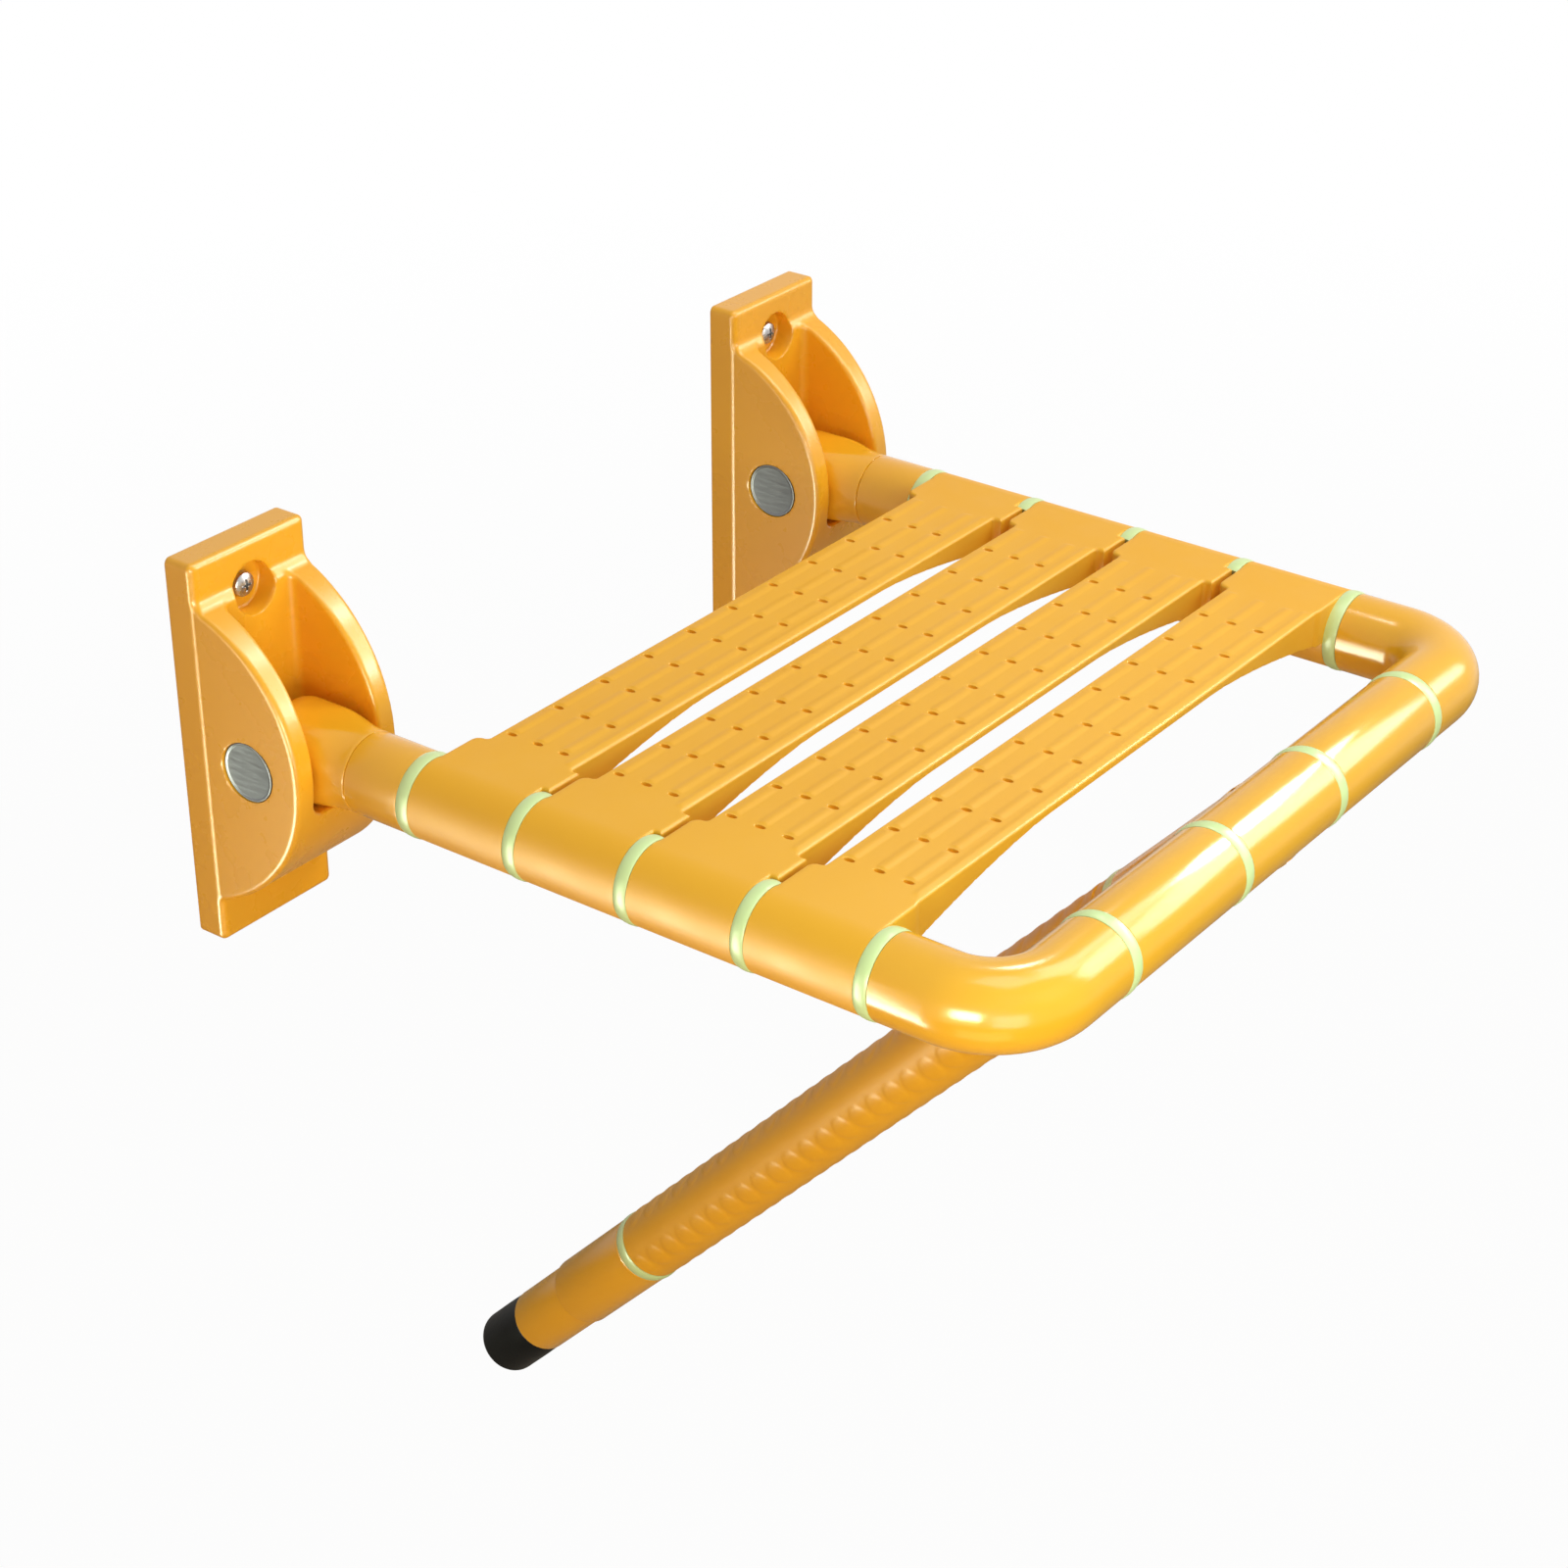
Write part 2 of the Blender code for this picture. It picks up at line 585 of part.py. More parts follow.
def slat_pocket_shape():
    """The hollow under the slat, between its front and rear walls."""
    rear = -SLAT_SETBACK - SLAT_WALL
    front = -SLAT_SETBACK - SLAT_WIDTH + SLAT_WALL
    return box((-SLAT_HALF_SPAN, front, -FAR), (SLAT_HALF_SPAN, rear, TUBE_RADIUS - SLAT_SKIN))


def slat_ribs_shape():
    """Two long ribs under the slat's skin, let into the skin and the hubs."""
    bm = bmesh.new()
    reach = SLAT_HALF_SPAN + JOIN_OVERLAP / 2
    rear = -SLAT_SETBACK - RIB_SETBACK
    front = -SLAT_SETBACK - SLAT_WIDTH + RIB_SETBACK + RIB_WIDTH
    for edge in (rear, front):
        rib = box((-reach, edge - RIB_WIDTH, TUBE_RADIUS - RIB_DEPTH),
                  (reach, edge, TUBE_RADIUS - SLAT_SKIN / 2))
        mesh = bpy.data.meshes.new("rib")
        rib.to_mesh(mesh)
        rib.free()
        bm.from_mesh(mesh)
        bpy.data.meshes.remove(mesh)
    return bm


def hub_outline():
    """Pairs of outer and bore points round a hub: a flat wing on the inner side, round elsewhere."""
    corner = math.atan2(TUBE_RADIUS, WING_REACH)
    angles = [corner * i / 2 for i in range(3)]
    angles += [corner + (math.pi / 2 - corner) * i / 3 for i in range(1, 4)]
    pairs = []
    for angle in angles:
        reach = WING_REACH / math.cos(angle) if angle <= corner else TUBE_RADIUS / math.sin(angle)
        pairs.append(((reach * math.cos(angle), reach * math.sin(angle)), angle))
    round_steps = TUBE_SIDES * 3 // 4
    for i in range(1, round_steps + 1):
        angle = math.pi / 2 + 1.5 * math.pi * i / round_steps
        pairs.append(((TUBE_RADIUS * math.cos(angle), TUBE_RADIUS * math.sin(angle)), angle))
    return [(point, (SLEEVE_BORE * math.cos(angle), SLEEVE_BORE * math.sin(angle))) for point, angle in pairs]


def hub_shape(sign):
    """One hub with its bore. The outline's first axis points from the arm to the slat's middle."""
    bm = bmesh.new()
    loops = []
    for y in (-RING_ROOM, -RING_PITCH + RING_ROOM):
        for which in (0, 1):
            loop = [bm.verts.new((sign * (HALF_SPACING - pair[which][0]), y, pair[which][1]))
                    for pair in hub_outline()]
            loops.append(loop)
    outer_rear, inner_rear, outer_front, inner_front = loops
    strips = ((outer_rear, outer_front), (inner_rear, inner_front), (outer_rear, inner_rear),
              (outer_front, inner_front))
    for a, b in strips:
        for i in range(len(a)):
            j = (i + 1) % len(a)
            bm.faces.new((a[i], a[j], b[j], b[i]))
    bmesh.ops.remove_doubles(bm, verts=bm.verts, dist=1e-6)
    return bm


def wing_shape(sign):
    """The part of the wing that runs on over the next ring, cut round to clear the steel tube."""
    top_angle = math.acos(WING_TO_AXIS / SLEEVE_BORE)
    outline = [(WING_TO_AXIS, TUBE_RADIUS), (WING_REACH, TUBE_RADIUS), (WING_REACH, TUBE_RADIUS - WING_DEPTH)]
    outline += arc((0.0, 0.0), SLEEVE_BORE, 0.0, top_angle, 5)
    ends = (-RING_PITCH + RING_ROOM + JOIN_OVERLAP / 2, -RING_PITCH - WING_PAST_RING)
    return prism(outline, ends, lambda u, v, y: (sign * (HALF_SPACING - u), y, v))


def slat_mesh(name, with_wings):
    steps = [("DIFFERENCE", slat_pocket_shape()), ("UNION", slat_ribs_shape())]
    for sign in (-1, 1):
        steps.append(("UNION", hub_shape(sign)))
        if with_wings:
            steps.append(("UNION", wing_shape(sign)))
    return combined(name, slat_body_shape(), steps)


def build_slats(mat, seat_pivot):
    """Four alike, but the front one stops short of the last ring, which goes all round the tube."""
    slat = slat_mesh("slat", True)
    front_slat = slat_mesh("front_slat", False)
    for index in range(SLAT_COUNT):
        mesh = front_slat if index == SLAT_COUNT - 1 else slat
        place(f"slat_{index + 1}", mesh, mat, seat_pivot, (0.0, -ring_distance(index), 0.0))


# Leg

def tee_mesh():
    """The sleeve that turns on the front bar, with the collar that takes the leg's tube."""
    half = BAR_RING_INNER - RING_ROOM
    base = moved(rod(TUBE_RADIUS, -half, half), ALONG_X)
    collar = moved(rod(TUBE_RADIUS, 0.0, LEG_UPPER_RING - RING_ROOM), DOWNWARD)
    bore = moved(rod(CORE_RADIUS + TEE_CLEARANCE, -FAR, FAR, RING_SIDES), ALONG_X)
    socket = moved(rod(SLEEVE_BORE, LEG_TUBE_START - PART_GAP, FAR, RING_SIDES), DOWNWARD)
    steps = [("UNION", collar), ("DIFFERENCE", bore), ("DIFFERENCE", socket)]
    return combined("leg_tee", base, steps)


def foot_mesh():
    """A rubber tip with a plug in the leg's tube and a recess with a boss in its sole."""
    plug = CORE_RADIUS - CORE_WALL - PART_GAP
    recess = FOOT_END - FOOT_RECESS_DEPTH
    profile = [(0.0, FOOT_START - FOOT_PLUG_LENGTH), (plug, FOOT_START - FOOT_PLUG_LENGTH),
               (plug, FOOT_START), (FOOT_RADIUS, FOOT_START), (FOOT_RADIUS, FOOT_END - FOOT_EDGE),
               (FOOT_RADIUS - FOOT_EDGE, FOOT_END), (FOOT_RECESS_RADIUS, FOOT_END),
               (FOOT_RECESS_RADIUS, recess), (FOOT_BOSS_RADIUS, recess),
               (FOOT_BOSS_RADIUS, FOOT_END - FOOT_BOSS_SUNK), (0.0, FOOT_END - FOOT_BOSS_SUNK)]
    return finish_mesh("leg_foot", revolve(profile))


def build_leg(mats, leg_pivot):
    place("leg_tee", tee_mesh(), mats["nylon"], leg_pivot)
    low = LEG_TUBE_START
    high = FOOT_START - PART_GAP
    sleeves = (
        ("leg_tube", "steel", CORE_RADIUS, CORE_RADIUS - CORE_WALL, low, high),
        ("leg_ring_upper", "ring", RING_RADIUS, SLEEVE_BORE, LEG_UPPER_RING - RING_HALF,
         LEG_UPPER_RING + RING_HALF),
        ("leg_grip", "nylon", TUBE_RADIUS, SLEEVE_BORE, LEG_UPPER_RING + RING_ROOM, LEG_LOWER_RING - RING_ROOM),
        ("leg_ring_lower", "ring", RING_RADIUS, SLEEVE_BORE, LEG_LOWER_RING - RING_HALF,
         LEG_LOWER_RING + RING_HALF),
        ("leg_sleeve", "nylon", TUBE_RADIUS, SLEEVE_BORE, LEG_LOWER_RING + RING_ROOM, LEG_SLEEVE_END),
        ("leg_extension", "nylon", LEG_EXTENSION_RADIUS, SLEEVE_BORE, LEG_SLEEVE_END + PART_GAP, high),
    )
    for name, mat, outer, inner, start, end in sleeves:
        mesh = finish_mesh(name, tube(outer, inner, start, end))
        place(name, mesh, mats[mat], leg_pivot, (0.0, 0.0, 0.0), DOWNWARD)
    place("leg_foot", foot_mesh(), mats["rubber"], leg_pivot, (0.0, 0.0, 0.0), DOWNWARD)


def build():
    clear_scene()
    mats = {
        "nylon": make_material("nylon_yellow", (0.90, 0.42, 0.03), 0.22),
        "satin": make_material("nylon_yellow_satin", (0.90, 0.45, 0.05), 0.45),
        "ring": make_material("glow_green", (0.62, 0.84, 0.38), 0.40),
        "steel": make_material("steel", (0.55, 0.56, 0.58), 0.35, 1.0),
        "cap": make_material("cap_grey", (0.42, 0.43, 0.44), 0.35, 1.0),
        "liner": make_material("liner_white", (0.80, 0.80, 0.78), 0.50),
        "rubber": make_material("rubber_black", (0.02, 0.02, 0.02), 0.70),
    }
    seat_pivot = make_empty("seat_pivot", (0.0, -PIN_FROM_WALL, 0.0))
    leg_pivot = make_empty("leg_pivot", (0.0, -BAR_FROM_PIN, 0.0), seat_pivot, LEG_ANGLE)
    build_wall_pieces(mats)
    build_frame(mats, seat_pivot)
    build_rings(mats["ring"], seat_pivot)
    build_slats(mats["satin"], seat_pivot)
    build_leg(mats, leg_pivot)


build()
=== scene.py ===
"""Folding wall-mounted shower seat with a swinging support leg, dressed for a studio picture.

Every visible moulding is a surface contoured from a smooth solid, so its edges are rounded as moulded nylon
is. Tubes, rings, caps and the foot are turned or swept. Lengths are in metres and the lamps' powers in watts.
"""

import math

import bmesh
import bpy
import numpy
from mathutils import Matrix, Vector


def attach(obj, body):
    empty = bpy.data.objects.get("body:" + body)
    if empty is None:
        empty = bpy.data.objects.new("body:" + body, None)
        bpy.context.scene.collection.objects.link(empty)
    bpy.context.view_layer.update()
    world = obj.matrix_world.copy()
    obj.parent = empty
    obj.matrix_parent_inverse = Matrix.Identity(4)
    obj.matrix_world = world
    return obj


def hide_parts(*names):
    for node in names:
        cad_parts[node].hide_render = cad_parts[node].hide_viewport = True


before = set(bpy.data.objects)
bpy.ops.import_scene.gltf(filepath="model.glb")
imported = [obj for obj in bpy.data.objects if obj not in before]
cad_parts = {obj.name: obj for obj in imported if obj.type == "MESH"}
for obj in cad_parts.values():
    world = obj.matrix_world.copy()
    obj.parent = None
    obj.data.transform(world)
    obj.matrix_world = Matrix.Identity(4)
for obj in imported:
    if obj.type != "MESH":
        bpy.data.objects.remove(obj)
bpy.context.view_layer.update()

# Sizes repeated from the model's source
TUBE_RADIUS = 0.0175
CORE_BORE = 0.0128
PART_GAP = 0.0003
RING_WIDTH = 0.0055
RING_PROUD = 0.0004
RING_TOP_REACH = math.radians(24.0)
RING_SIDE_GAP = math.radians(2.0)
HALF_SPACING = 0.1756
PIN_FROM_WALL = 0.0350
BAR_FROM_PIN = 0.3465
BEND_RADIUS = 0.0290
FIRST_RING_FROM_PIN = 0.0713
RING_PITCH = 0.0552
SLAT_COUNT = 4
BAR_RING_INNER = 0.0377
BAR_RING_OUTER = 0.1195

PLATE_HALF_WIDTH = 0.0322
PLATE_THICKNESS = 0.0143
PLATE_TOP = 0.0856
PLATE_BOTTOM = -0.0866
CHEEK_RADIUS = 0.0705
CHEEK_CENTRE_BEHIND_WALL = 0.0090
CHEEK_DRAFT = 0.0030
CHANNEL_HALF = 0.0192
CHANNEL_BACK = 0.0168
CHANNEL_FLOOR = -0.0178
UPPER_SCREW_HEIGHT = 0.0650
WELL_FLOOR = 0.0070
PIN_RADIUS = 0.0060
CAP_RADIUS = 0.0129
CAP_THICKNESS = 0.0020
CAP_SUNK = 0.0004
BUSH_BORE = 0.0084
KNUCKLE_REACH = 0.0401
KNUCKLE_CORNER = 0.0095
SOCKET_START = 0.0137

SLAT_SETBACK = 0.0086
SLAT_WIDTH = 0.0430
SLAT_HALF_SPAN = 0.1500
SLAT_SKIN = 0.0037
SLAT_WALL = 0.0035
RIB_SETBACK = 0.0100
RIB_WIDTH = 0.0035
RIB_DEPTH = 0.0085
ARCH_FLAT = 0.0600
ARCH_RISE = 0.0130
ARCH_POWER = 1.6
SLAT_EDGE_DEPTH = 0.0035
WING_TO_AXIS = 0.0076
WING_PAST_RING = 0.0006

LEG_ANGLE = math.radians(42.2)
LEG_UPPER_RING = 0.0750
LEG_LOWER_RING = 0.4650
LEG_SLEEVE_END = 0.5300
LEG_TUBE_START = 0.0200
LEG_EXTENSION_RADIUS = 0.0165
FOOT_START = 0.5740
FOOT_END = 0.6115
FOOT_RADIUS = 0.0165
FOOT_PLUG_RADIUS = 0.0107
FOOT_PLUG_LENGTH = 0.0200

RING_HALF = RING_WIDTH / 2
RING_ROOM = RING_HALF + PART_GAP
RING_RADIUS = TUBE_RADIUS + RING_PROUD
CHEEK_DEPTH = CHEEK_RADIUS - CHEEK_CENTRE_BEHIND_WALL
SLEEVE_EDGE = 0.0003

# How fine the meshes are
TURNED_SIDES = 48
FACE_SIDES = 72
GRIP_SIDES = 128
BEND_STEPS = 20
WIDE_GRID = 0.0017
PLAIN_GRID = 0.0010
DEEP_GRID = 0.0009
FINE_GRID = 0.0008
SCREW_GRID = 0.0003
SLAT_LONG_GRID = 0.0040
SLAT_DEEP_GRID = 0.0016
SLAT_HIGH_GRID = 0.0013
WING_GRID = 0.0011
ROW_GRID = 0.0006
DENT_GRID = 0.00045
SMOOTH_ANGLE = math.radians(32.0)
SAME_PLACE = 1e-7
SLOPE_REACH = 2e-5
GRID_MARGIN = 0.0004
HALVINGS = 14
CENTRE_PULL = 0.02


# Distances, combined with true round fillets

def fillet_union(a, b, radius):
    """Where either solid is, with the corner between them filled."""
    overlap = numpy.hypot(numpy.maximum(radius - a, 0), numpy.maximum(radius - b, 0))
    return numpy.maximum(radius, numpy.minimum(a, b)) - overlap


def round_both(a, b, radius):
    """Where both solids are, with the edge between them rounded."""
    overlap = numpy.hypot(numpy.maximum(radius + a, 0), numpy.maximum(radius + b, 0))
    return numpy.minimum(-radius, numpy.maximum(a, b)) + overlap


def round_cut(a, b, radius):
    return round_both(a, -b, radius)


def slab(value, low, high):
    return numpy.abs(value - (low + high) / 2) - (high - low) / 2


def rounded_square(u, v, half, corner):
    du = numpy.abs(u) - (half - corner)
    dv = numpy.abs(v) - (half - corner)
    outside = numpy.hypot(numpy.maximum(du, 0), numpy.maximum(dv, 0))
    return outside + numpy.minimum(numpy.maximum(du, dv), 0) - corner


def smooth_step(value, start, end):
    share = numpy.clip((value - start) / (end - start), 0.0, 1.0)
    return share * share * (3 - 2 * share)


# Meshes

def stations(low, high, step, fine=(), fine_step=None):
    """Grid places from low to high, closer together inside the fine ranges."""
    edges = {low, high}
    for a, b in fine:
        edges.update((max(a, low), min(b, high)))
    ordered = sorted(edges)
    places = [low]
    for a, b in zip(ordered, ordered[1:]):
        if b - a < SAME_PLACE:
            continue
        middle = (a + b) / 2
        inside = any(start <= middle <= end for start, end in fine)
        count = max(1, math.ceil((b - a) / (fine_step if inside else step) - 1e-6))
        places.extend(a + (b - a) * i / count for i in range(1, count + 1))
    return numpy.array(places)


def gradient(field, points):
    """Unit slope of the field at each point."""
    slopes = numpy.empty_like(points)
    for axis in range(3):
        step = numpy.zeros(3)
        step[axis] = SLOPE_REACH
        high = field(*(points + step).T)
        low = field(*(points - step).T)
        slopes[:, axis] = high - low
    length = numpy.linalg.norm(slopes, axis=1, keepdims=True)
    return slopes / numpy.maximum(length, 1e-12)


def crossings(field, axes, values, axis):
    """The grid edges along one axis that the surface cuts.

    Gives their lower ends, the points on the surface, and whether the lower end is inside."""
    low = [slice(None)] * 3
    high = [slice(None)] * 3
    low[axis] = slice(None, -1)
    high[axis] = slice(1, None)
    inside = values < 0
    nodes = numpy.argwhere(inside[tuple(low)] != inside[tuple(high)])
    start = numpy.stack([axes[i][nodes[:, i]] for i in range(3)], axis=1)
    end = start.copy()
    end[:, axis] = axes[axis][nodes[:, axis] + 1]
    outward = inside[tuple(nodes.T)]
    near = numpy.where(outward[:, None], start, end)
    far = numpy.where(outward[:, None], end, start)
    for _ in range(HALVINGS):
        middle = (near + far) / 2
        within = field(*middle.T) < 0
        near[within] = middle[within]
        far[~within] = middle[~within]
    return nodes, (near + far) / 2, outward


def contour(name, field, axes):
    """The closed surface where the field is zero, with its edges kept, from the cells between the stations.

    Each cell that the surface crosses gets one point, the nearest to all the tangent planes in that cell."""
    values = field(*numpy.meshgrid(*axes, indexing="ij"))
    cells = [len(stretch) - 1 for stretch in axes]
    total = cells[0] * cells[1] * cells[2]
    strides = numpy.array([cells[1] * cells[2], cells[2], 1])
    product = numpy.zeros((total, 3, 3))
    target = numpy.zeros((total, 3))
    middle = numpy.zeros((total, 3))
    count = numpy.zeros(total)
    rings = []
    for axis in range(3):
        nodes, points, outward = crossings(field, axes, values, axis)
        slopes = gradient(field, points)
        across = [(axis + 1) % 3, (axis + 2) % 3]
        ring = []
        for da, db in ((-1, -1), (0, -1), (0, 0), (-1, 0)):
            cell = nodes.copy()
            cell[:, across[0]] += da
            cell[:, across[1]] += db
            ring.append(cell @ strides)
        offsets = numpy.einsum("ij,ij->i", slopes, points)
        outer = numpy.einsum("ij,ik->ijk", slopes, slopes)
        for index in ring:
            numpy.add.at(product, index, outer)
            numpy.add.at(target, index, slopes * offsets[:, None])
            numpy.add.at(middle, index, points)
            numpy.add.at(count, index, 1)
        ring = numpy.stack(ring, axis=1)
        ring[~outward] = ring[~outward][:, ::-1]
        rings.append(ring)
    used = numpy.flatnonzero(count)
    centre = middle[used] / count[used, None]
    pull = CENTRE_PULL * count[used, None, None] * numpy.eye(3)
    matrix = product[used] + pull
    right = target[used] - numpy.einsum("ijk,ik->ij", product[used], centre)
    places = centre + numpy.linalg.solve(matrix, right[:, :, None])[:, :, 0]
    corner = numpy.stack(numpy.unravel_index(used, cells), axis=1)
    for axis in range(3):
        low = axes[axis][corner[:, axis]]
        high = axes[axis][corner[:, axis] + 1]
        places[:, axis] = numpy.clip(places[:, axis], low, high)
    number = numpy.full(total, -1)
    number[used] = numpy.arange(len(used))
    return mesh_from(name, places, number[numpy.concatenate(rings)])


def smoothed(mesh):
    mesh.shade_smooth()
    mesh.set_sharp_from_angle(angle=SMOOTH_ANGLE)
    return mesh


def mesh_from(name, places, faces):
    mesh = bpy.data.meshes.new(name)
    mesh.from_pydata(places.tolist(), [], faces.tolist())
    mesh.validate()
    return smoothed(mesh)


def finished(name, bm):
    bmesh.ops.remove_doubles(bm, verts=bm.verts, dist=SAME_PLACE)
    bmesh.ops.recalc_face_normals(bm, faces=bm.faces)
    mesh = bpy.data.meshes.new(name)
    bm.to_mesh(mesh)
    bm.free()
    return smoothed(mesh)


def softened(profile, radius, steps=4):
    """A closed (radius, height) outline with each convex or hollow corner turned into a small curve.

    A third value in a point, if given, is that corner's own radius, and 0 keeps the corner sharp."""
    points = []
    count = len(profile)
    for i, corner in enumerate(profile):
        own = corner[2] if len(corner) > 2 else radius
        here = Vector(corner[:2])
        before = Vector(profile[i - 1][:2]) - here
        after = Vector(profile[(i + 1) % count][:2]) - here
        reach = min(own, before.length * 0.45, after.length * 0.45)
        if reach < 1e-6 or here.x < 1e-9:
            points.append(tuple(here))
            continue
        first = here + before.normalized() * reach
        last = here + after.normalized() * reach
        for step in range(steps + 1):
            t = step / steps
            points.append(tuple(first * (1 - t) ** 2 + here * 2 * t * (1 - t) + last * t ** 2))
    return points


def turned(profile, sides=TURNED_SIDES, start=0.0, sweep=2 * math.pi, lift=None):
    """Turns a closed (radius, height) outline about Z.

    lift(radius, angle, height), if given, raises the skin by what it returns."""
    bm = bmesh.new()
    full = abs(sweep) > 2 * math.pi - 1e-6
    around = sides if full else sides + 1
    columns = []
    for radius, height in profile:
        if radius < 1e-9:
            columns.append([bm.verts.new((0.0, 0.0, height))] * around)
            continue
        column = []
        for i in range(around):
            angle = start + sweep * i / sides
            reach = radius + (lift(radius, angle, height) if lift else 0.0)
            column.append(bm.verts.new((reach * math.cos(angle), reach * math.sin(angle), height)))
        columns.append(column)
    for a, b in zip(columns, columns[1:] + columns[:1]):
        for i in range(sides):
            j = (i + 1) % around
            corners = []
            for vertex in (a[i], a[j], b[j], b[i]):
                if vertex not in corners:
                    corners.append(vertex)
            if len(corners) > 2:
                bm.faces.new(corners)
    if not full:
        bm.faces.new([column[0] for column in columns])
        bm.faces.new([column[-1] for column in columns])
    return bm


# Tubes and rings

RING_EASE = 0.00018
RING_CROWN = 0.0001
RING_SHOULDER = 0.0014
RING_LIP = 0.0005
RING_LIP_DROP = 0.0002


def sleeve_profile(outer, inner, low, high, edge=SLEEVE_EDGE):
    return softened([(inner, low, 0.0), (outer, low, edge), (outer, high, edge), (inner, high, 0.0)], edge)


def ring_profile():
    """A glow ring's section: slightly crowned on the outside, with soft shoulders."""
    half = RING_HALF + RING_EASE
    right = [(RING_RADIUS + RING_CROWN, 0.0), (RING_RADIUS, half - RING_SHOULDER),
             (RING_RADIUS - RING_LIP_DROP, half - RING_LIP), (TUBE_RADIUS, half)]
    left = [(radius, -height) for radius, height in reversed(right[1:])]
    return [(CORE_BORE, -half), *left, *right, (CORE_BORE, half)]


def swept(path, outer, inner, sides=TURNED_SIDES, edge=SLEEVE_EDGE):
    """A tube with a bore along a path in the seat's plane, its outer ends softened."""
    bm = bmesh.new()
    skins = []
    for radius in (outer, inner):
        skin = []
        for i, (place, direction) in enumerate(path):
            across = Vector((direction.y, -direction.x, 0.0))
            shrink = edge if radius == outer and i in (0, len(path) - 1) else 0.0
            loop = []
            for side in range(sides):
                angle = 2 * math.pi * side / sides
                offset = (radius - shrink) * (math.cos(angle) * across + Vector((0.0, 0.0, math.sin(angle))))
                loop.append(bm.verts.new(place + offset))
            skin.append(loop)
        skins.append(skin)
    strips = [pair for skin in skins for pair in zip(skin, skin[1:])]
    strips += [(skins[0][0], skins[1][0]), (skins[0][-1], skins[1][-1])]
    for a, b in strips:
        for i in range(sides):
            j = (i + 1) % sides
            bm.faces.new((a[i], a[j], b[j], b[i]))
    return bm


def pointing(axis):
    """Turns +Z into the named direction."""
    turns = {"x": Matrix.Rotation(math.pi / 2, 4, "Y"), "-x": Matrix.Rotation(-math.pi / 2, 4, "Y"),
             "-y": Matrix.Rotation(math.pi / 2, 4, "X"), "-z": Matrix.Rotation(math.pi, 4, "X")}
    return turns[axis]


def add_piece(name, mesh, mat, body, replaced, matrix=None):
    """Adds a piece that stands for the named CAD nodes and rides on a body."""
    if not mesh.materials:
        mesh.materials.append(mat)
    obj = bpy.data.objects.new(name, mesh)
    if matrix is not None:
        obj.matrix_world = matrix
    bpy.context.collection.objects.link(obj)
    bpy.context.view_layer.update()
    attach(obj, body)
    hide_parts(*replaced)


# Materials

DRIFT_SCALE = 14.0
GLOSS_SCALE = 60.0
GRAIN_STRENGTH = 0.35
CLOUD_SCALE = 40.0
SCRATCH_SCALE = 900.0
SCRATCH_STRENGTH = 0.15
SCRATCH_DEPTH = 0.0001


def new_material(name):
    """A material, its tree and shader, and the object's own coordinates."""
    mat = bpy.data.materials.new(name)
    mat.use_nodes = True
    tree = mat.node_tree
    place = tree.nodes.new("ShaderNodeTexCoord").outputs["Object"]
    return mat, tree, tree.nodes["Principled BSDF"], place


def noise(tree, place, scale, detail=2.0, stretch=None):
    if stretch:
        mapping = tree.nodes.new("ShaderNodeMapping")
        mapping.inputs["Scale"].default_value = stretch
        tree.links.new(place, mapping.inputs["Vector"])
        place = mapping.outputs["Vector"]
    texture = tree.nodes.new("ShaderNodeTexNoise")
    texture.inputs["Scale"].default_value = scale
    texture.inputs["Detail"].default_value = detail
    tree.links.new(place, texture.inputs["Vector"])
    return texture.outputs["Fac"]


def ramp(tree, value, low, high, low_value, high_value):
    node = tree.nodes.new("ShaderNodeMapRange")
    for key, number in (("From Min", low), ("From Max", high), ("To Min", low_value), ("To Max", high_value)):
        node.inputs[key].default_value = number
    tree.links.new(value, node.inputs["Value"])
    return node.outputs["Result"]


def blend_colours(tree, share, first, second):
    node = tree.nodes.new("ShaderNodeMix")
    node.data_type = "RGBA"
    node.inputs["A"].default_value = (*first, 1.0)
    node.inputs["B"].default_value = (*second, 1.0)
    tree.links.new(share, node.inputs["Factor"])
    return node.outputs["Result"]


def bump(tree, shader, height, strength, distance):
    node = tree.nodes.new("ShaderNodeBump")
    node.inputs["Strength"].default_value = strength
    node.inputs["Distance"].default_value = distance
    tree.links.new(height, node.inputs["Height"])
    tree.links.new(node.outputs["Normal"], shader.inputs["Normal"])


def moulded(name, tones, roughness, grain, grain_depth, **settings):
    """Moulded plastic: a slow drift between two tones, uneven gloss and a fine surface grain."""
    mat, tree, shader, place = new_material(name)
    drift = ramp(tree, noise(tree, place, DRIFT_SCALE, 3.0), 0.35, 0.65, 0.0, 1.0)
    tree.links.new(blend_colours(tree, drift, *tones), shader.inputs["Base Color"])
    gloss = ramp(tree, noise(tree, place, GLOSS_SCALE, 4.0), 0.3, 0.7, *roughness)
    tree.links.new(gloss, shader.inputs["Roughness"])
    bump(tree, shader, noise(tree, place, grain), GRAIN_STRENGTH, grain_depth)
    for key, value in settings.items():
        shader.inputs[key.replace("_", " ")].default_value = value
    return mat


def brushed(name, tones, roughness, stretch, metallic):
    """Metal with fine drawn scratches along one direction."""
    mat, tree, shader, place = new_material(name)
    lines = noise(tree, place, SCRATCH_SCALE, 3.0, stretch)
    cloud = ramp(tree, noise(tree, place, CLOUD_SCALE, 3.0), 0.35, 0.65, 0.0, 1.0)
    tree.links.new(blend_colours(tree, cloud, *tones), shader.inputs["Base Color"])
    tree.links.new(ramp(tree, lines, 0.3, 0.7, *roughness), shader.inputs["Roughness"])
    bump(tree, shader, lines, SCRATCH_STRENGTH, SCRATCH_DEPTH)
    shader.inputs["Metallic"].default_value = metallic
    return mat


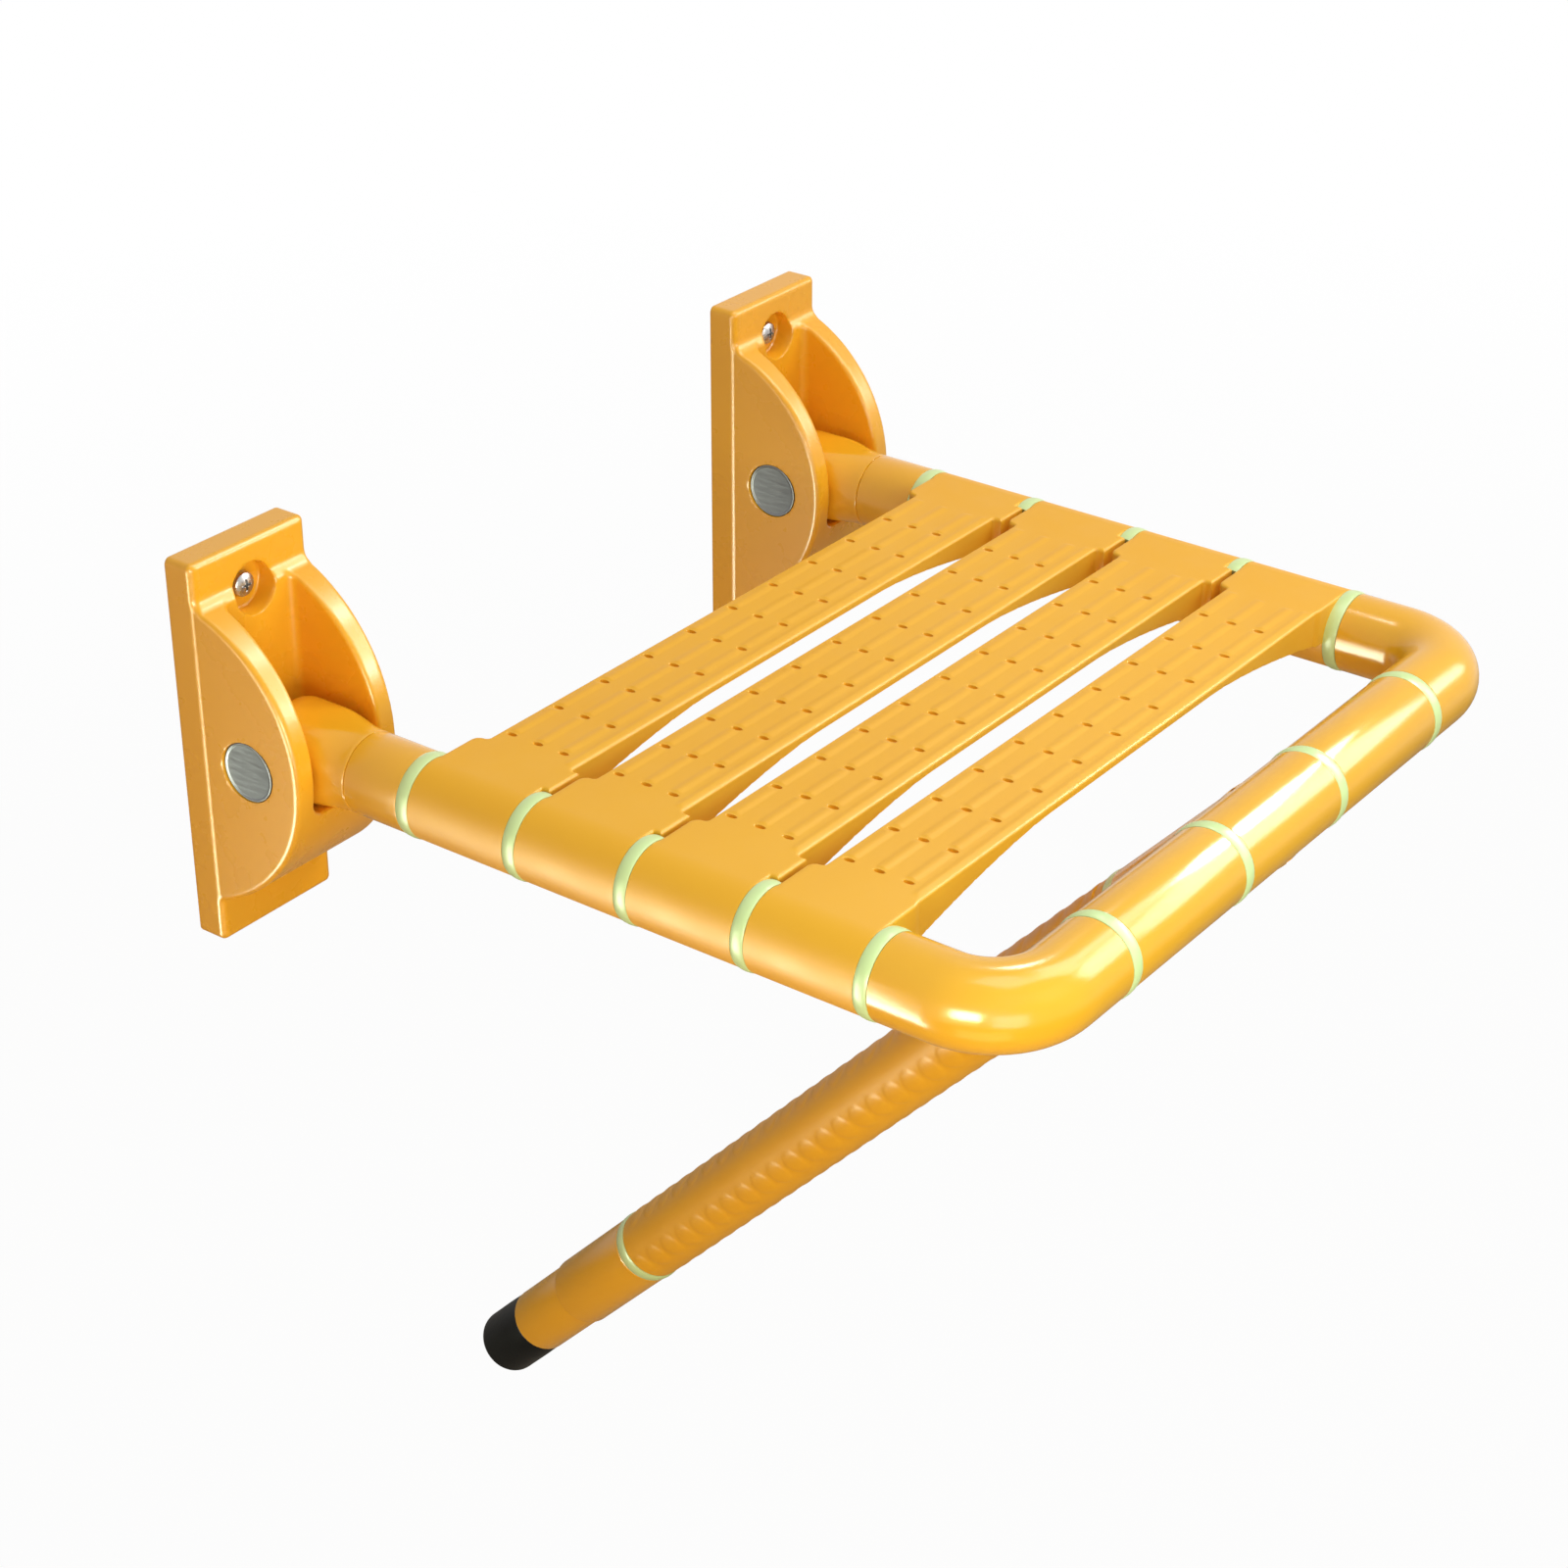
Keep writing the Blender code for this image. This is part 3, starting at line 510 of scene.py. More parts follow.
def make_materials():
    """Each material with its two tones, its range of roughness and its grain's scale and depth."""
    return {
        "nylon": moulded("nylon_yellow", ((0.84, 0.400, 0.015), (0.86, 0.418, 0.019)), (0.17, 0.21),
                         420.0, 0.00010, IOR=1.50),
        "bracket": moulded("nylon_yellow_bracket", ((0.857, 0.394, 0.0150), (0.865, 0.401, 0.0165)),
                           (0.27, 0.28), 900.0, 0.00003, IOR=1.50),
        "satin": moulded("nylon_yellow_satin", ((0.84, 0.398, 0.014), (0.86, 0.418, 0.018)), (0.44, 0.52),
                         1500.0, 0.00010, IOR=1.44),
        "grip": moulded("nylon_yellow_grip", ((0.84, 0.398, 0.014), (0.86, 0.418, 0.018)), (0.36, 0.42),
                        700.0, 0.00006, Specular_IOR_Level=0.25),
        "ring": moulded("glow_green", ((0.58, 0.74, 0.32), (0.66, 0.78, 0.38)), (0.30, 0.40),
                        800.0, 0.00008, IOR=1.48),
        "liner": moulded("liner_white", ((0.74, 0.74, 0.71), (0.80, 0.80, 0.78)), (0.40, 0.55),
                         900.0, 0.00008),
        "rubber": moulded("rubber_black", ((0.004, 0.004, 0.004), (0.008, 0.008, 0.008)), (0.34, 0.46),
                          700.0, 0.00015, Specular_IOR_Level=0.12),
        "steel": brushed("steel", ((0.40, 0.39, 0.38), (0.48, 0.47, 0.46)), (0.22, 0.38),
                         (1.0, 1.0, 0.06), 1.0),
        "cap": brushed("cap_grey", ((0.165, 0.165, 0.175), (0.200, 0.200, 0.210)), (0.30, 0.40),
                       (1.0, 0.08, 1.0), 0.60),
    }


# Wall brackets

PLATE_ROUND = 0.0028
RIM_ROUND = 0.0021
BACK_ROUND = 0.0004
CHEEK_INSET = 0.0002
SIDE_STEP = 0.0004
SIDE_STEP_START = 0.0022
SIDE_STEP_END = 0.0002
TOP_FILLET = 0.0040
LOW_FILLET = 0.0018
FILLET_CHANGE = 0.02
RIM_CHANGE = 0.002
CHANNEL_CORNER = 0.0070
CHANNEL_BACK_CORNER = 0.0040
CHANNEL_RIM = 0.0017
UPPER_WELL_RADIUS = 0.0110
LOWER_WELL_RADIUS = 0.0075
WELL_CORNER = 0.0010
WELL_RIM = 0.0009
PIN_CLEARANCE = 0.0002
RECESS_RIM = 0.0004
SCREW_HOLE_RADIUS = 0.0028
SCREW_SHANK_RADIUS = 0.0025
SCREW_HEAD_RADIUS = 0.0053
SCREW_HEAD_HEIGHT = 0.0044
SCREW_HEAD_EDGE = 0.0006
SCREW_DOME_RADIUS = 0.0102
SHANK_IN_HEAD = 0.001
CROSS_HALF_WIDTH = 0.00062
CROSS_REACH = 0.0027
CROSS_SLOPE = 0.35
CROSS_DEPTH = 0.0021
CROSS_RIM = 0.0001
CAP_RIM_WIDTH = 0.0007
CAP_RIM_BEVEL = 0.0005
CAP_RIM_EDGE = 0.0003
CAP_OUTER_EDGE = 0.00035
CAP_INNER_EDGE = 0.0002
CAP_GROOVE_SUNK = 0.0004
CAP_FACE_SUNK = 0.0003


def half_width(y):
    """Half the bracket's width at a depth: full at the plate, a small step, then a slight draft."""
    share = numpy.clip((-y - PLATE_THICKNESS) / (CHEEK_DEPTH - PLATE_THICKNESS), 0.0, 1.0)
    step = smooth_step(-y, PLATE_THICKNESS - SIDE_STEP_START, PLATE_THICKNESS - SIDE_STEP_END)
    return PLATE_HALF_WIDTH - SIDE_STEP * step - (CHEEK_DRAFT - CHEEK_INSET) * share


def cap_seat():
    """How far from the bracket's middle the pin cap's inner face lies."""
    share = (PIN_FROM_WALL - PLATE_THICKNESS) / (CHEEK_DEPTH - PLATE_THICKNESS)
    return PLATE_HALF_WIDTH - CHEEK_INSET - CHEEK_DRAFT * share - CAP_SUNK - CAP_THICKNESS


def bracket_field(x, y, z):
    """A wall plate and two round cheeks with a channel between them, screw wells and the pin's hole."""
    plate = round_both(-y - PLATE_THICKNESS, slab(z, PLATE_BOTTOM, PLATE_TOP), PLATE_ROUND)
    disc = numpy.hypot(y - CHEEK_CENTRE_BEHIND_WALL, z) - CHEEK_RADIUS
    fillet = LOW_FILLET + (TOP_FILLET - LOW_FILLET) * smooth_step(z, -FILLET_CHANGE, FILLET_CHANGE)
    side_view = fillet_union(plate, disc, fillet)
    at_plate = smooth_step(y, -PLATE_THICKNESS - RIM_CHANGE, -PLATE_THICKNESS)
    rim = RIM_ROUND + (PLATE_ROUND - RIM_ROUND) * at_plate
    solid = round_both(side_view, numpy.abs(x) - half_width(y), rim)
    solid = round_both(solid, y, BACK_ROUND)
    channel = round_both(numpy.abs(x) - CHANNEL_HALF, CHANNEL_FLOOR - z, CHANNEL_CORNER)
    channel = round_both(channel, y + CHANNEL_BACK, CHANNEL_BACK_CORNER)
    solid = round_cut(solid, channel, CHANNEL_RIM)
    for height, radius in ((UPPER_SCREW_HEIGHT, UPPER_WELL_RADIUS), (0.0, LOWER_WELL_RADIUS)):
        reach = numpy.hypot(x, z - height)
        well = round_both(reach - radius, y + WELL_FLOOR, WELL_CORNER)
        solid = round_cut(solid, well, WELL_RIM)
        solid = numpy.maximum(solid, SCREW_HOLE_RADIUS - reach)
    about_pin = numpy.hypot(y + PIN_FROM_WALL, z)
    solid = numpy.maximum(solid, PIN_RADIUS + PIN_CLEARANCE - about_pin)
    seat = cap_seat() - PART_GAP
    recess = numpy.maximum(about_pin - CAP_RADIUS - PART_GAP, seat - numpy.abs(x))
    return round_cut(solid, recess, RECESS_RIM)


def bracket_mesh():
    """The bracket, on a grid that is close at its sides, the channel's walls and the upper well."""
    side = PLATE_HALF_WIDTH + GRID_MARGIN
    edges = ((-side, -0.0272), (-0.0212, -0.0090), (0.0090, 0.0212), (0.0272, side))
    across = stations(-side, side, WIDE_GRID, edges, FINE_GRID)
    deep = stations(-0.0625, 0.0006, DEEP_GRID)
    low, top = PLATE_BOTTOM - GRID_MARGIN, PLATE_TOP + GRID_MARGIN
    high = stations(low, top, PLAIN_GRID, ((0.050, 0.080),), FINE_GRID)
    return contour("bracket_form", bracket_field, (across, deep, high))


def screw_mesh():
    """A pan-head wall screw with a cross recess sunk in its head."""
    seat = WELL_FLOOR + PART_GAP
    top = seat + SCREW_HEAD_HEIGHT

    def field(x, y, z):
        reach = numpy.hypot(x, y)
        head = numpy.hypot(reach, z - top + SCREW_DOME_RADIUS) - SCREW_DOME_RADIUS
        head = round_both(numpy.maximum(head, seat - z), reach - SCREW_HEAD_RADIUS, SCREW_HEAD_EDGE)
        shank = numpy.maximum(reach - SCREW_SHANK_RADIUS, slab(z, PART_GAP, seat + SHANK_IN_HEAD))
        slope = (top - z) * CROSS_SLOPE
        first = numpy.maximum(numpy.abs(x) - CROSS_HALF_WIDTH, numpy.abs(y) - CROSS_REACH + slope)
        second = numpy.maximum(numpy.abs(y) - CROSS_HALF_WIDTH, numpy.abs(x) - CROSS_REACH + slope)
        recess = numpy.maximum(numpy.minimum(first, second), top - CROSS_DEPTH - z)
        return round_cut(numpy.minimum(head, shank), recess, CROSS_RIM)

    side = stations(-0.0062, 0.0062, 0.0004, ((-0.003, 0.003),), SCREW_GRID)
    tall = stations(0.0001, top + 0.0002, DEEP_GRID, ((seat - 0.0003, top + 0.0002),), SCREW_GRID)
    return contour("screw_form", field, (side, side, tall))


def cap_mesh():
    """A pressed pin cap: a flat face inside a thin raised rim."""
    face = cap_seat()
    top = face + CAP_THICKNESS
    inside = CAP_RADIUS - CAP_RIM_WIDTH
    profile = [(0.0, face), (CAP_RADIUS, face), (CAP_RADIUS, top, CAP_OUTER_EDGE),
               (inside, top, CAP_RIM_EDGE), (inside - CAP_RIM_BEVEL, top - CAP_GROOVE_SUNK, CAP_RIM_EDGE),
               (0.0, top - CAP_FACE_SUNK)]
    return finished("cap_form", turned(softened(profile, CAP_INNER_EDGE), FACE_SIDES))


def build_brackets(mats):
    bracket = bracket_mesh()
    screw = screw_mesh()
    cap = cap_mesh()
    for side, x in (("left", -HALF_SPACING), ("right", HALF_SPACING)):
        add_piece(f"bracket_body_{side}", bracket, mats["bracket"], "wall_brackets",
                  [f"bracket_{side}"], Matrix.Translation((x, 0.0, 0.0)))
        for level, height in (("upper", UPPER_SCREW_HEIGHT), ("lower", 0.0)):
            add_piece(f"screw_{level}_{side}", screw, mats["steel"], "wall_brackets",
                      [f"wall_screw_{level}_{side}"], Matrix.Translation((x, 0.0, height)) @ pointing("-y"))
        outward, inward = ("-x", "x") if x < 0 else ("x", "-x")
        pin = Matrix.Translation((x, -PIN_FROM_WALL, 0.0))
        for end, axis in (("outer", outward), ("inner", inward)):
            add_piece(f"cap_{end}_{side}", cap, mats["cap"], "wall_brackets",
                      [f"pin_cap_{end}_{side}"], pin @ pointing(axis))


# Seat frame

KNUCKLE_EASE_START = TUBE_RADIUS - 0.004
KNUCKLE_EASE_END = KNUCKLE_REACH - 0.003
KNUCKLE_END_ROUND = 0.0006


def knuckle_field(x, y, z):
    """Square with round edges at the pin, easing into a round end where the tube begins."""
    ease = smooth_step(-y, KNUCKLE_EASE_START, KNUCKLE_EASE_END)
    corner = KNUCKLE_CORNER + (TUBE_RADIUS - KNUCKLE_CORNER) * ease
    straight = round_both(rounded_square(x, z, TUBE_RADIUS, corner), -y - KNUCKLE_REACH, KNUCKLE_END_ROUND)
    straight = numpy.maximum(straight, y)
    reach = numpy.hypot(y, z) - (TUBE_RADIUS - KNUCKLE_CORNER)
    out = numpy.abs(x) - (TUBE_RADIUS - KNUCKLE_CORNER)
    nose = numpy.hypot(numpy.maximum(reach, 0), numpy.maximum(out, 0))
    nose += numpy.minimum(numpy.maximum(reach, out), 0)
    solid = numpy.minimum(straight, nose - KNUCKLE_CORNER)
    solid = numpy.maximum(solid, BUSH_BORE - numpy.hypot(y, z))
    socket = numpy.maximum(numpy.hypot(x, z) - CORE_BORE, y + SOCKET_START)
    return numpy.maximum(solid, -socket)


def knuckle_mesh():
    width = stations(-0.0178, 0.0178, FINE_GRID)
    return contour("knuckle_form", knuckle_field, (width, stations(-0.0404, 0.0178, FINE_GRID), width))


def side_path(start, end, steps=BEND_STEPS):
    """Places and directions from the left arm round its corner to the bar."""
    centre = Vector((-HALF_SPACING + BEND_RADIUS, -BAR_FROM_PIN + BEND_RADIUS, 0.0))
    path = [(Vector((-HALF_SPACING, -start, 0.0)), Vector((0.0, -1.0, 0.0)))]
    path.append((path[0][0] + path[0][1] * SLEEVE_EDGE, path[0][1]))
    for i in range(steps + 1):
        angle = math.pi + math.pi / 2 * i / steps
        out = Vector((math.cos(angle), math.sin(angle), 0.0))
        path.append((centre + BEND_RADIUS * out, Vector((-out.y, out.x, 0.0))))
    last = Vector((-end, -BAR_FROM_PIN, 0.0))
    along = Vector((1.0, 0.0, 0.0))
    path += [(last - along * SLEEVE_EDGE, along), (last, along)]
    return path


def mirrored(path):
    """The same path on the other arm, run the other way."""
    return [(Vector((-place.x, place.y, 0.0)), Vector((along.x, -along.y, 0.0)))
            for place, along in reversed(path)]


def pin_level(path):
    """Moves a path from the pin's frame to the wall's."""
    return [(place + Vector((0.0, -PIN_FROM_WALL, 0.0)), along) for place, along in path]


def ring_distance(index):
    return FIRST_RING_FROM_PIN + index * RING_PITCH


def build_frame(mats):
    nylon = mats["nylon"]
    knuckle = knuckle_mesh()
    rear = finished("rear_sleeve_form", turned(sleeve_profile(
        TUBE_RADIUS, CORE_BORE, KNUCKLE_REACH + PART_GAP, ring_distance(0) - RING_ROOM)))
    bar = finished("bar_sleeve_form", turned(sleeve_profile(
        TUBE_RADIUS, CORE_BORE, BAR_RING_INNER + RING_ROOM, BAR_RING_OUTER - RING_ROOM)))
    bar_place = Matrix.Translation((0.0, -PIN_FROM_WALL - BAR_FROM_PIN, 0.0))
    corner = pin_level(side_path(ring_distance(SLAT_COUNT) + RING_ROOM, BAR_RING_OUTER + RING_ROOM))
    for side, sign, path in (("left", -1, corner), ("right", 1, mirrored(corner))):
        arm = Matrix.Translation((sign * HALF_SPACING, -PIN_FROM_WALL, 0.0))
        add_piece(f"arm_knuckle_{side}", knuckle, nylon, "seat", [f"knuckle_{side}"], arm)
        add_piece(f"arm_sleeve_{side}", rear, nylon, "seat", [f"rear_sleeve_{side}"],
                  arm @ pointing("-y"))
        bend = finished(f"corner_form_{side}", swept(path, TUBE_RADIUS, CORE_BORE))
        add_piece(f"frame_corner_{side}", bend, nylon, "seat", [f"corner_sleeve_{side}"])
        add_piece(f"front_bar_{side}", bar, nylon, "seat", [f"bar_sleeve_{side}"],
                  bar_place @ pointing("-x" if sign < 0 else "x"))


def build_rings(mats):
    """The glow rings: those between two slats stay open where the slats' tongues reach over the arm."""
    whole = finished("ring_form", turned(ring_profile()))
    for side, sign in (("left", -1), ("right", 1)):
        start = -math.pi / 2 - sign * RING_TOP_REACH
        sweep = sign * (1.5 * math.pi + RING_TOP_REACH - RING_SIDE_GAP)
        partial = finished(f"open_ring_form_{side}", turned(ring_profile(), TURNED_SIDES, start, sweep))
        for index in range(SLAT_COUNT + 1):
            mesh = partial if 0 < index < SLAT_COUNT else whole
            place = Matrix.Translation((sign * HALF_SPACING, -PIN_FROM_WALL - ring_distance(index), 0.0))
            add_piece(f"arm_ring_{side}_{index + 1}", mesh, mats["ring"], "seat",
                      [f"glow_ring_{side}_{index + 1}"], place @ Matrix.Rotation(-math.pi / 2, 4, "X"))
    for index, x in enumerate((-BAR_RING_OUTER, -BAR_RING_INNER, BAR_RING_INNER, BAR_RING_OUTER)):
        place = Matrix.Translation((x, -PIN_FROM_WALL - BAR_FROM_PIN, 0.0))
        add_piece(f"front_ring_{index + 1}", whole, mats["ring"], "seat",
                  [f"bar_ring_{index + 1}"], place @ pointing("x"))


# Slats

TOP_ROUND = 0.0015
UNDER_ROUND = 0.0004
SHOULDER_ROUND = 0.0045
PLAN_FILLET = 0.0016
POCKET_ROUND = 0.0012
RIB_ROUND = 0.0003
TONGUE_SETBACK = 0.0020
HUB_EASE = 0.0020
DIMPLE_PITCH = 0.0290
DIMPLE_COLUMNS = [-0.1417 + DIMPLE_PITCH * i for i in range(10)]
DIMPLE_ROWS = (-0.0139, -0.0276, -0.0409)
DIMPLE_DEPTH = 0.0024
DIMPLE_HALF_LENGTH = 0.0013
DIMPLE_HALF_WIDTH = 0.0027
DIMPLE_FLOOR = 0.55
ROW_REACH = 0.0040
BAR_HEIGHT = 0.00042
BAR_HALF_WIDTH = 0.0034
BAR_OFFSET = 0.0003
BAR_END = 0.0014
BAR_END_FULL = 0.0034
LIP_PLACE = -0.0482
LIP_HEIGHT = 0.0003
LIP_HALF_WIDTH = 0.0024
LIP_END = 0.001
LIP_END_FULL = 0.004
REAR = -SLAT_SETBACK
FRONT = REAR - SLAT_WIDTH
HUB_REAR = -RING_ROOM
HUB_FRONT = -RING_PITCH + RING_ROOM
RING_END = -RING_PITCH - WING_PAST_RING


def bell(value, width):
    """A soft hump: 1 in the middle, 0 beyond the width."""
    return numpy.maximum(0.0, 1.0 - (value / width) ** 2) ** 2


def top_relief(x, y):
    """Height of the slat's pattern: three rows of soft bars with a short dent between each two."""
    relief = numpy.zeros(numpy.broadcast(x, y).shape)
    ends = DIMPLE_COLUMNS[1:] + [DIMPLE_COLUMNS[-1] + DIMPLE_PITCH]
    for row in DIMPLE_ROWS:
        if not (numpy.abs(y - row) < ROW_REACH).any():
            continue
        ridge = bell(y - row - BAR_OFFSET, BAR_HALF_WIDTH)
        for column, following in zip(DIMPLE_COLUMNS, ends):
            begun = smooth_step(x, column + BAR_END, column + BAR_END_FULL)
            ended = smooth_step(x, following - BAR_END, following - BAR_END_FULL)
            relief += BAR_HEIGHT * ridge * (begun * ended)
            hollow = numpy.hypot((x - column) / DIMPLE_HALF_LENGTH, (y - row) / DIMPLE_HALF_WIDTH)
            relief -= DIMPLE_DEPTH * smooth_step(hollow, 1.0, DIMPLE_FLOOR)
    span = smooth_step(numpy.abs(x), SLAT_HALF_SPAN - LIP_END, SLAT_HALF_SPAN - LIP_END_FULL)
    relief += LIP_HEIGHT * bell(y - LIP_PLACE, LIP_HALF_WIDTH) * span
    return relief


def slat_field(with_wings):
    """A strap with an arched, hollow underside between two hubs that hold the arms.

    With wings, each hub's front edge also reaches over the next glow ring to the following slat."""
    beam_middle = (REAR + FRONT) / 2

    def field(x, y, z):
        side = numpy.abs(x)
        u = side - HALF_SPACING
        share = numpy.clip((side - ARCH_FLAT) / (SLAT_HALF_SPAN - ARCH_FLAT), 0.0, 1.0)
        arch = TUBE_RADIUS - SLAT_EDGE_DEPTH - ARCH_RISE * share ** ARCH_POWER
        lower = arch * (1 - smooth_step(side, SLAT_HALF_SPAN, SLAT_HALF_SPAN + HUB_EASE))
        beam = numpy.maximum(numpy.abs(y - beam_middle) - SLAT_WIDTH / 2, side - HALF_SPACING)
        wing = round_both(SLAT_HALF_SPAN - side, slab(y, HUB_FRONT, HUB_REAR), SHOULDER_ROUND)
        if with_wings:
            tongue = numpy.maximum(slab(side, SLAT_HALF_SPAN, HALF_SPACING - WING_TO_AXIS),
                                   slab(y, RING_END, HUB_REAR - SHOULDER_ROUND - TONGUE_SETBACK))
            wing = numpy.minimum(wing, tongue)
        plan = fillet_union(beam, numpy.maximum(wing, u), PLAN_FILLET)
        top = TUBE_RADIUS + top_relief(x, y)
        plate = round_both(plan, z - top, TOP_ROUND)
        plate = round_both(plate, lower - z, UNDER_ROUND)
        inner_wall = numpy.abs(y - beam_middle) - SLAT_WIDTH / 2 + SLAT_WALL
        pocket = round_both(inner_wall, z - TUBE_RADIUS + SLAT_SKIN, POCKET_ROUND)
        pocket = numpy.maximum(pocket, side - SLAT_HALF_SPAN)
        for edge in (REAR - RIB_SETBACK, FRONT + RIB_SETBACK + RIB_WIDTH):
            rib = numpy.maximum(slab(y, edge - RIB_WIDTH, edge), TUBE_RADIUS - RIB_DEPTH - z)
            pocket = round_cut(pocket, rib, RIB_ROUND)
        plate = numpy.maximum(plate, -pocket)
        plate = numpy.maximum(plate, u)
        hub = round_both(numpy.hypot(u, z) - TUBE_RADIUS, slab(y, HUB_FRONT, HUB_REAR), SLEEVE_EDGE)
        solid = numpy.minimum(plate, hub)
        return numpy.maximum(solid, CORE_BORE - numpy.hypot(u, z))

    return field


def slat_mesh(name, with_wings):
    """A slat, on a grid that is close where dents, shoulders, rows and edges are."""
    reach = HALF_SPACING + 0.0180
    inner = SLAT_HALF_SPAN - 0.004
    dents = [(column - 0.0032, column + 0.0032) for column in DIMPLE_COLUMNS]
    shoulders = [(-SLAT_HALF_SPAN - 0.006, -inner), (inner, SLAT_HALF_SPAN + 0.006)]
    along = stations(-reach, reach, SLAT_LONG_GRID, dents, DENT_GRID)
    parts = [along[numpy.abs(along) < inner]]
    for low, high in ((-reach, -inner), (inner, reach)):
        parts.append(stations(low, high, WING_GRID, shoulders, FINE_GRID))
    along = numpy.unique(numpy.round(numpy.concatenate(parts), 6))
    rows = [(row - 0.0034, row + 0.0034) for row in DIMPLE_ROWS]
    edges = [(HUB_REAR - 0.001, HUB_REAR + GRID_MARGIN), (REAR - 0.0016, REAR + 0.0006),
             (FRONT - 0.0006, FRONT + 0.0050), (RING_END - GRID_MARGIN, HUB_FRONT + 0.001)]
    deep = stations(RING_END - GRID_MARGIN, HUB_REAR + GRID_MARGIN, SLAT_DEEP_GRID, rows + edges, ROW_GRID)
    top = TUBE_RADIUS + 0.0008
    high = stations(-TUBE_RADIUS - 0.0003, top, SLAT_HIGH_GRID, ((0.0148, top),), DENT_GRID)
    return contour(name, slat_field(with_wings), (along, deep, high))


def build_slats(mats):
    slat = slat_mesh("slat_form", True)
    front = slat_mesh("front_slat_form", False)
    for index in range(SLAT_COUNT):
        mesh = front if index == SLAT_COUNT - 1 else slat
        place = Matrix.Translation((0.0, -PIN_FROM_WALL - ring_distance(index), 0.0))
        add_piece(f"seat_slat_{index + 1}", mesh, mats["satin"], "seat",
                  [f"slat_{index + 1}"], place)


# Leg

TEE_BORE = 0.0129
TEE_FILLET = 0.0018
SLEEVE_END_ROUND = 0.0009
GRIP_EDGE = 0.0005
GRIP_EDGE_STEP = 0.0001
GRIP_EDGE_LENGTH = 0.0003
GRIP_END = 0.001
GRIP_STEP = 0.00075
BUMP_PITCH = 0.0136
BUMP_ROWS = 4
BUMP_HEIGHT = 0.00055
BUMP_LENGTH = 0.0056
BUMP_WIDTH = math.radians(23.0)
BUMP_TURN = math.radians(-20.0)
BUMPS_FROM_UPPER_RING = 0.006
BUMPS_FROM_LOWER_RING = 0.003
FOOT_TAPER = 0.0003
FOOT_TAPER_LENGTH = 0.012
FOOT_RIM = 0.0026
FOOT_RIM_RISE = 0.0030
SOLE_RAISE = 0.0002
RECESS_RADIUS = 0.0122
RECESS_FLOOR_RADIUS = 0.0112
RECESS_DEPTH = 0.0058
BOSS_FOOT_RADIUS = 0.0060
BOSS_RADIUS = 0.0050
BOSS_SUNK = 0.0026
BOSS_CENTRE_SUNK = 0.0024


def tee_field(x, y, z):
    """A sleeve on the front bar with a socket for the leg, filled in the corner between them."""
    half = BAR_RING_INNER - RING_ROOM
    across = round_both(numpy.hypot(y, z) - TUBE_RADIUS, numpy.abs(x) - half, SLEEVE_EDGE)
    down = round_both(numpy.hypot(x, y) - TUBE_RADIUS, -z - (LEG_UPPER_RING - RING_ROOM), SLEEVE_EDGE)
    down = numpy.maximum(down, z)
    solid = fillet_union(across, down, TEE_FILLET)
    solid = numpy.maximum(solid, TEE_BORE - numpy.hypot(y, z))
    socket = numpy.maximum(numpy.hypot(x, y) - CORE_BORE, z + LEG_TUBE_START - PART_GAP)
    return numpy.maximum(solid, -socket)


def tee_mesh():
    across = stations(-0.0352, 0.0352, PLAIN_GRID)
    deep = stations(-0.0180, 0.0180, DEEP_GRID)
    return contour("tee_form", tee_field, (across, deep, stations(-0.0724, 0.0180, PLAIN_GRID)))


def grip_lift(radius, angle, height):
    """Height of the grip's scale bumps, in rows along the leg, every second row half a pitch on."""
    if radius < TUBE_RADIUS - GRIP_EDGE_STEP:
        return 0.0
    first = LEG_UPPER_RING + RING_ROOM + BUMPS_FROM_UPPER_RING
    last = LEG_LOWER_RING - RING_ROOM - BUMPS_FROM_LOWER_RING
    if not first < height < last:
        return 0.0
    lift = 0.0
    for row in range(BUMP_ROWS):
        turn = (angle - BUMP_TURN - row * 2 * math.pi / BUMP_ROWS + math.pi) % (2 * math.pi) - math.pi
        if abs(turn) > BUMP_WIDTH:
            continue
        place = (height - first) / BUMP_PITCH + 0.5 * (row % 2)
        along = (place - math.floor(place) - 0.5) * BUMP_PITCH / BUMP_LENGTH
        far = along * along + (turn / BUMP_WIDTH) ** 2
        if far < 1.0:
            lift += BUMP_HEIGHT * math.sqrt(1 - far)
    return lift


def grip_mesh():
    low = LEG_UPPER_RING + RING_ROOM
    high = LEG_LOWER_RING - RING_ROOM
    length = high - low - 2 * GRIP_END
    steps = math.ceil(length / GRIP_STEP)
    outer = [(TUBE_RADIUS - GRIP_EDGE, low), (TUBE_RADIUS - GRIP_EDGE_STEP, low + GRIP_EDGE_LENGTH)]
    outer += [(TUBE_RADIUS, low + GRIP_END + length * i / steps) for i in range(steps + 1)]
    outer += [(TUBE_RADIUS - GRIP_EDGE_STEP, high - GRIP_EDGE_LENGTH), (TUBE_RADIUS - GRIP_EDGE, high)]
    profile = [(CORE_BORE, low), *outer, (CORE_BORE, high)]
    return finished("grip_form", turned(profile, GRIP_SIDES, lift=grip_lift))


